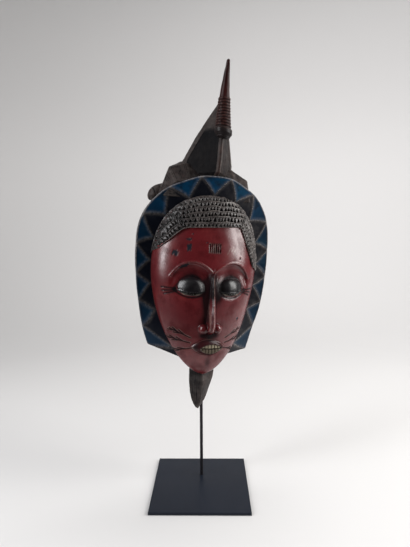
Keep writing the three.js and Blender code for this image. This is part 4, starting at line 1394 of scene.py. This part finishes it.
# Seamless bowl turned round the Z axis: a flat floor bends up through a quarter circle into an upright
# wall. Its paper is pale; light that it throws back from beside the viewer is dimmed, as by a darker room.
def buildStudio():
    bend = np.linspace(0, np.pi / 2, 15)[1:]
    flat = np.linspace(0.02, studio["floorRadius"], 30)
    radius = np.concatenate([flat, studio["floorRadius"] + studio["bend"] * np.sin(bend)])
    height = np.concatenate([0 * flat, studio["bend"] * (1 - np.cos(bend))])
    rise = np.linspace(studio["bend"], studio["wallHeight"], 6)[1:]
    radius = np.concatenate([radius, radius[-1] + 0 * rise])[:, None]
    height = np.concatenate([height, rise])[:, None]
    around = studio["around"]
    turn = np.arange(around) * 2 * np.pi / around
    points = gridOf(radius * np.cos(turn), radius * np.sin(turn), height - studio["below"])
    index = np.arange(len(radius) * around).reshape(-1, around)
    following = np.roll(index, -1, axis=1)
    quads = np.stack([index[:-1], index[1:], following[1:], following[:-1]], -1).reshape(-1, 4)
    fan = np.stack([np.full(around, index.size), index[0], following[0]], -1)
    points = np.concatenate([points.reshape(-1, 3), [[0, 0, -studio["below"]]]])
    mesh = bpy.data.meshes.new("paleBackdrop")
    mesh.from_pydata(points.tolist(), [], quads.tolist() + fan.tolist())
    mesh.shade_smooth()
    x, y, z = points.T
    beside = smooth(np.abs(x) - 0.2 - 0.52 * (y + 0.66), 0.0, 0.4)
    addMask(mesh, "room", np.maximum(smooth(-y, 0.17, 0.55), beside * fall(y, 0.9, 1.7)))
    shade = 0.15 * smooth(z, 0.2, 2.3) + 0.10 * smooth(-x, -0.6, 1.4) * smooth(y, 0.2, 1.6)
    shade += 0.14 * fall(z, 0.1, 1.0) * smooth(y, -0.4, 0.2)
    shade += 0.14 * bell(y - 0.8, 0.6) * fall(z, 0.3, 1.1)
    addMask(mesh, "shade", shade)
    material, tree, shader = newMaterial("palePaper", {"Roughness": 0.9})[:3]
    unseen = calc(tree, "SUBTRACT", 1.0, addNode(tree, "ShaderNodeLightPath").outputs["Is Camera Ray"])
    dark = calc(tree, "MAXIMUM", mask(tree, "shade"), times(tree, mask(tree, "room"), unseen))
    tree.links.new(layer(tree, dark, studio["pale"], studio["dim"]), shader["Base Color"])
    mesh.materials.append(material)
    addObject("paleBackdrop", mesh)


# Pose from the directions that point right, up and back, and a place.
def poseOf(right, up, back, place):
    return Matrix([[right[k], up[k], back[k], place[k]] for k in range(3)] + [[0, 0, 0, 1]])


# Area light at a place, turned to an aim; a wash doesn't show in reflections.
def softbox(name, place, aim, size, power, colour, shows):
    data = bpy.data.lights.new(name, "AREA")
    data.shape = "RECTANGLE"
    data.size, data.size_y = size
    data.energy = power
    data.color = colour
    lamp = addObject(name, data)
    lamp.visible_glossy = shows
    away = np.subtract(place, aim)
    back = away / np.linalg.norm(away)
    right = np.cross((0, 0, 1), back)
    right /= np.linalg.norm(right)
    lamp.matrix_world = poseOf(right, np.cross(back, right), back, place)


print("setting up the studio")
buildStudio()
for name, values in lights.items():
    softbox(name, *values)

world = bpy.data.worlds.new("paleRoom")
world.use_nodes = True
glow = world.node_tree.nodes["Background"].inputs
glow["Color"].default_value = studio["world"]
glow["Strength"].default_value = studio["worldStrength"]
bpy.context.scene.world = world
bpy.context.scene.view_settings.view_transform = "Standard"

view = {
    "place": (15.72, -659.08, 407.96),   # millimetres
    "yaw": -0.011387,
    "pitch": 0.0988535,
    "roll": 0.00452189,
    "focal": 432.058,                # pixels
    "tall": 547,                     # height of the picture in pixels
    "sensor": 36,                    # millimetres
}


# Camera: forward from yaw and pitch, then right and down turned by the roll.
def buildCamera():
    yaw, pitch, roll = view["yaw"], view["pitch"], view["roll"]
    forward = np.array([math.sin(yaw) * math.cos(pitch), math.cos(yaw) * math.cos(pitch), -math.sin(pitch)])
    right = np.array([math.cos(yaw), -math.sin(yaw), 0.0])
    down = np.cross(forward, right)
    rolledRight = right * math.cos(roll) + down * math.sin(roll)
    rolledDown = down * math.cos(roll) - right * math.sin(roll)
    data = bpy.data.cameras.new("photoView")
    data.sensor_width = view["sensor"]
    data.lens = view["focal"] * view["sensor"] / view["tall"]
    camera = addObject("photoView", data)
    camera.matrix_world = poseOf(rolledRight, -rolledDown, -forward, np.array(view["place"]) / 1000)
    bpy.context.scene.camera = camera


buildCamera()
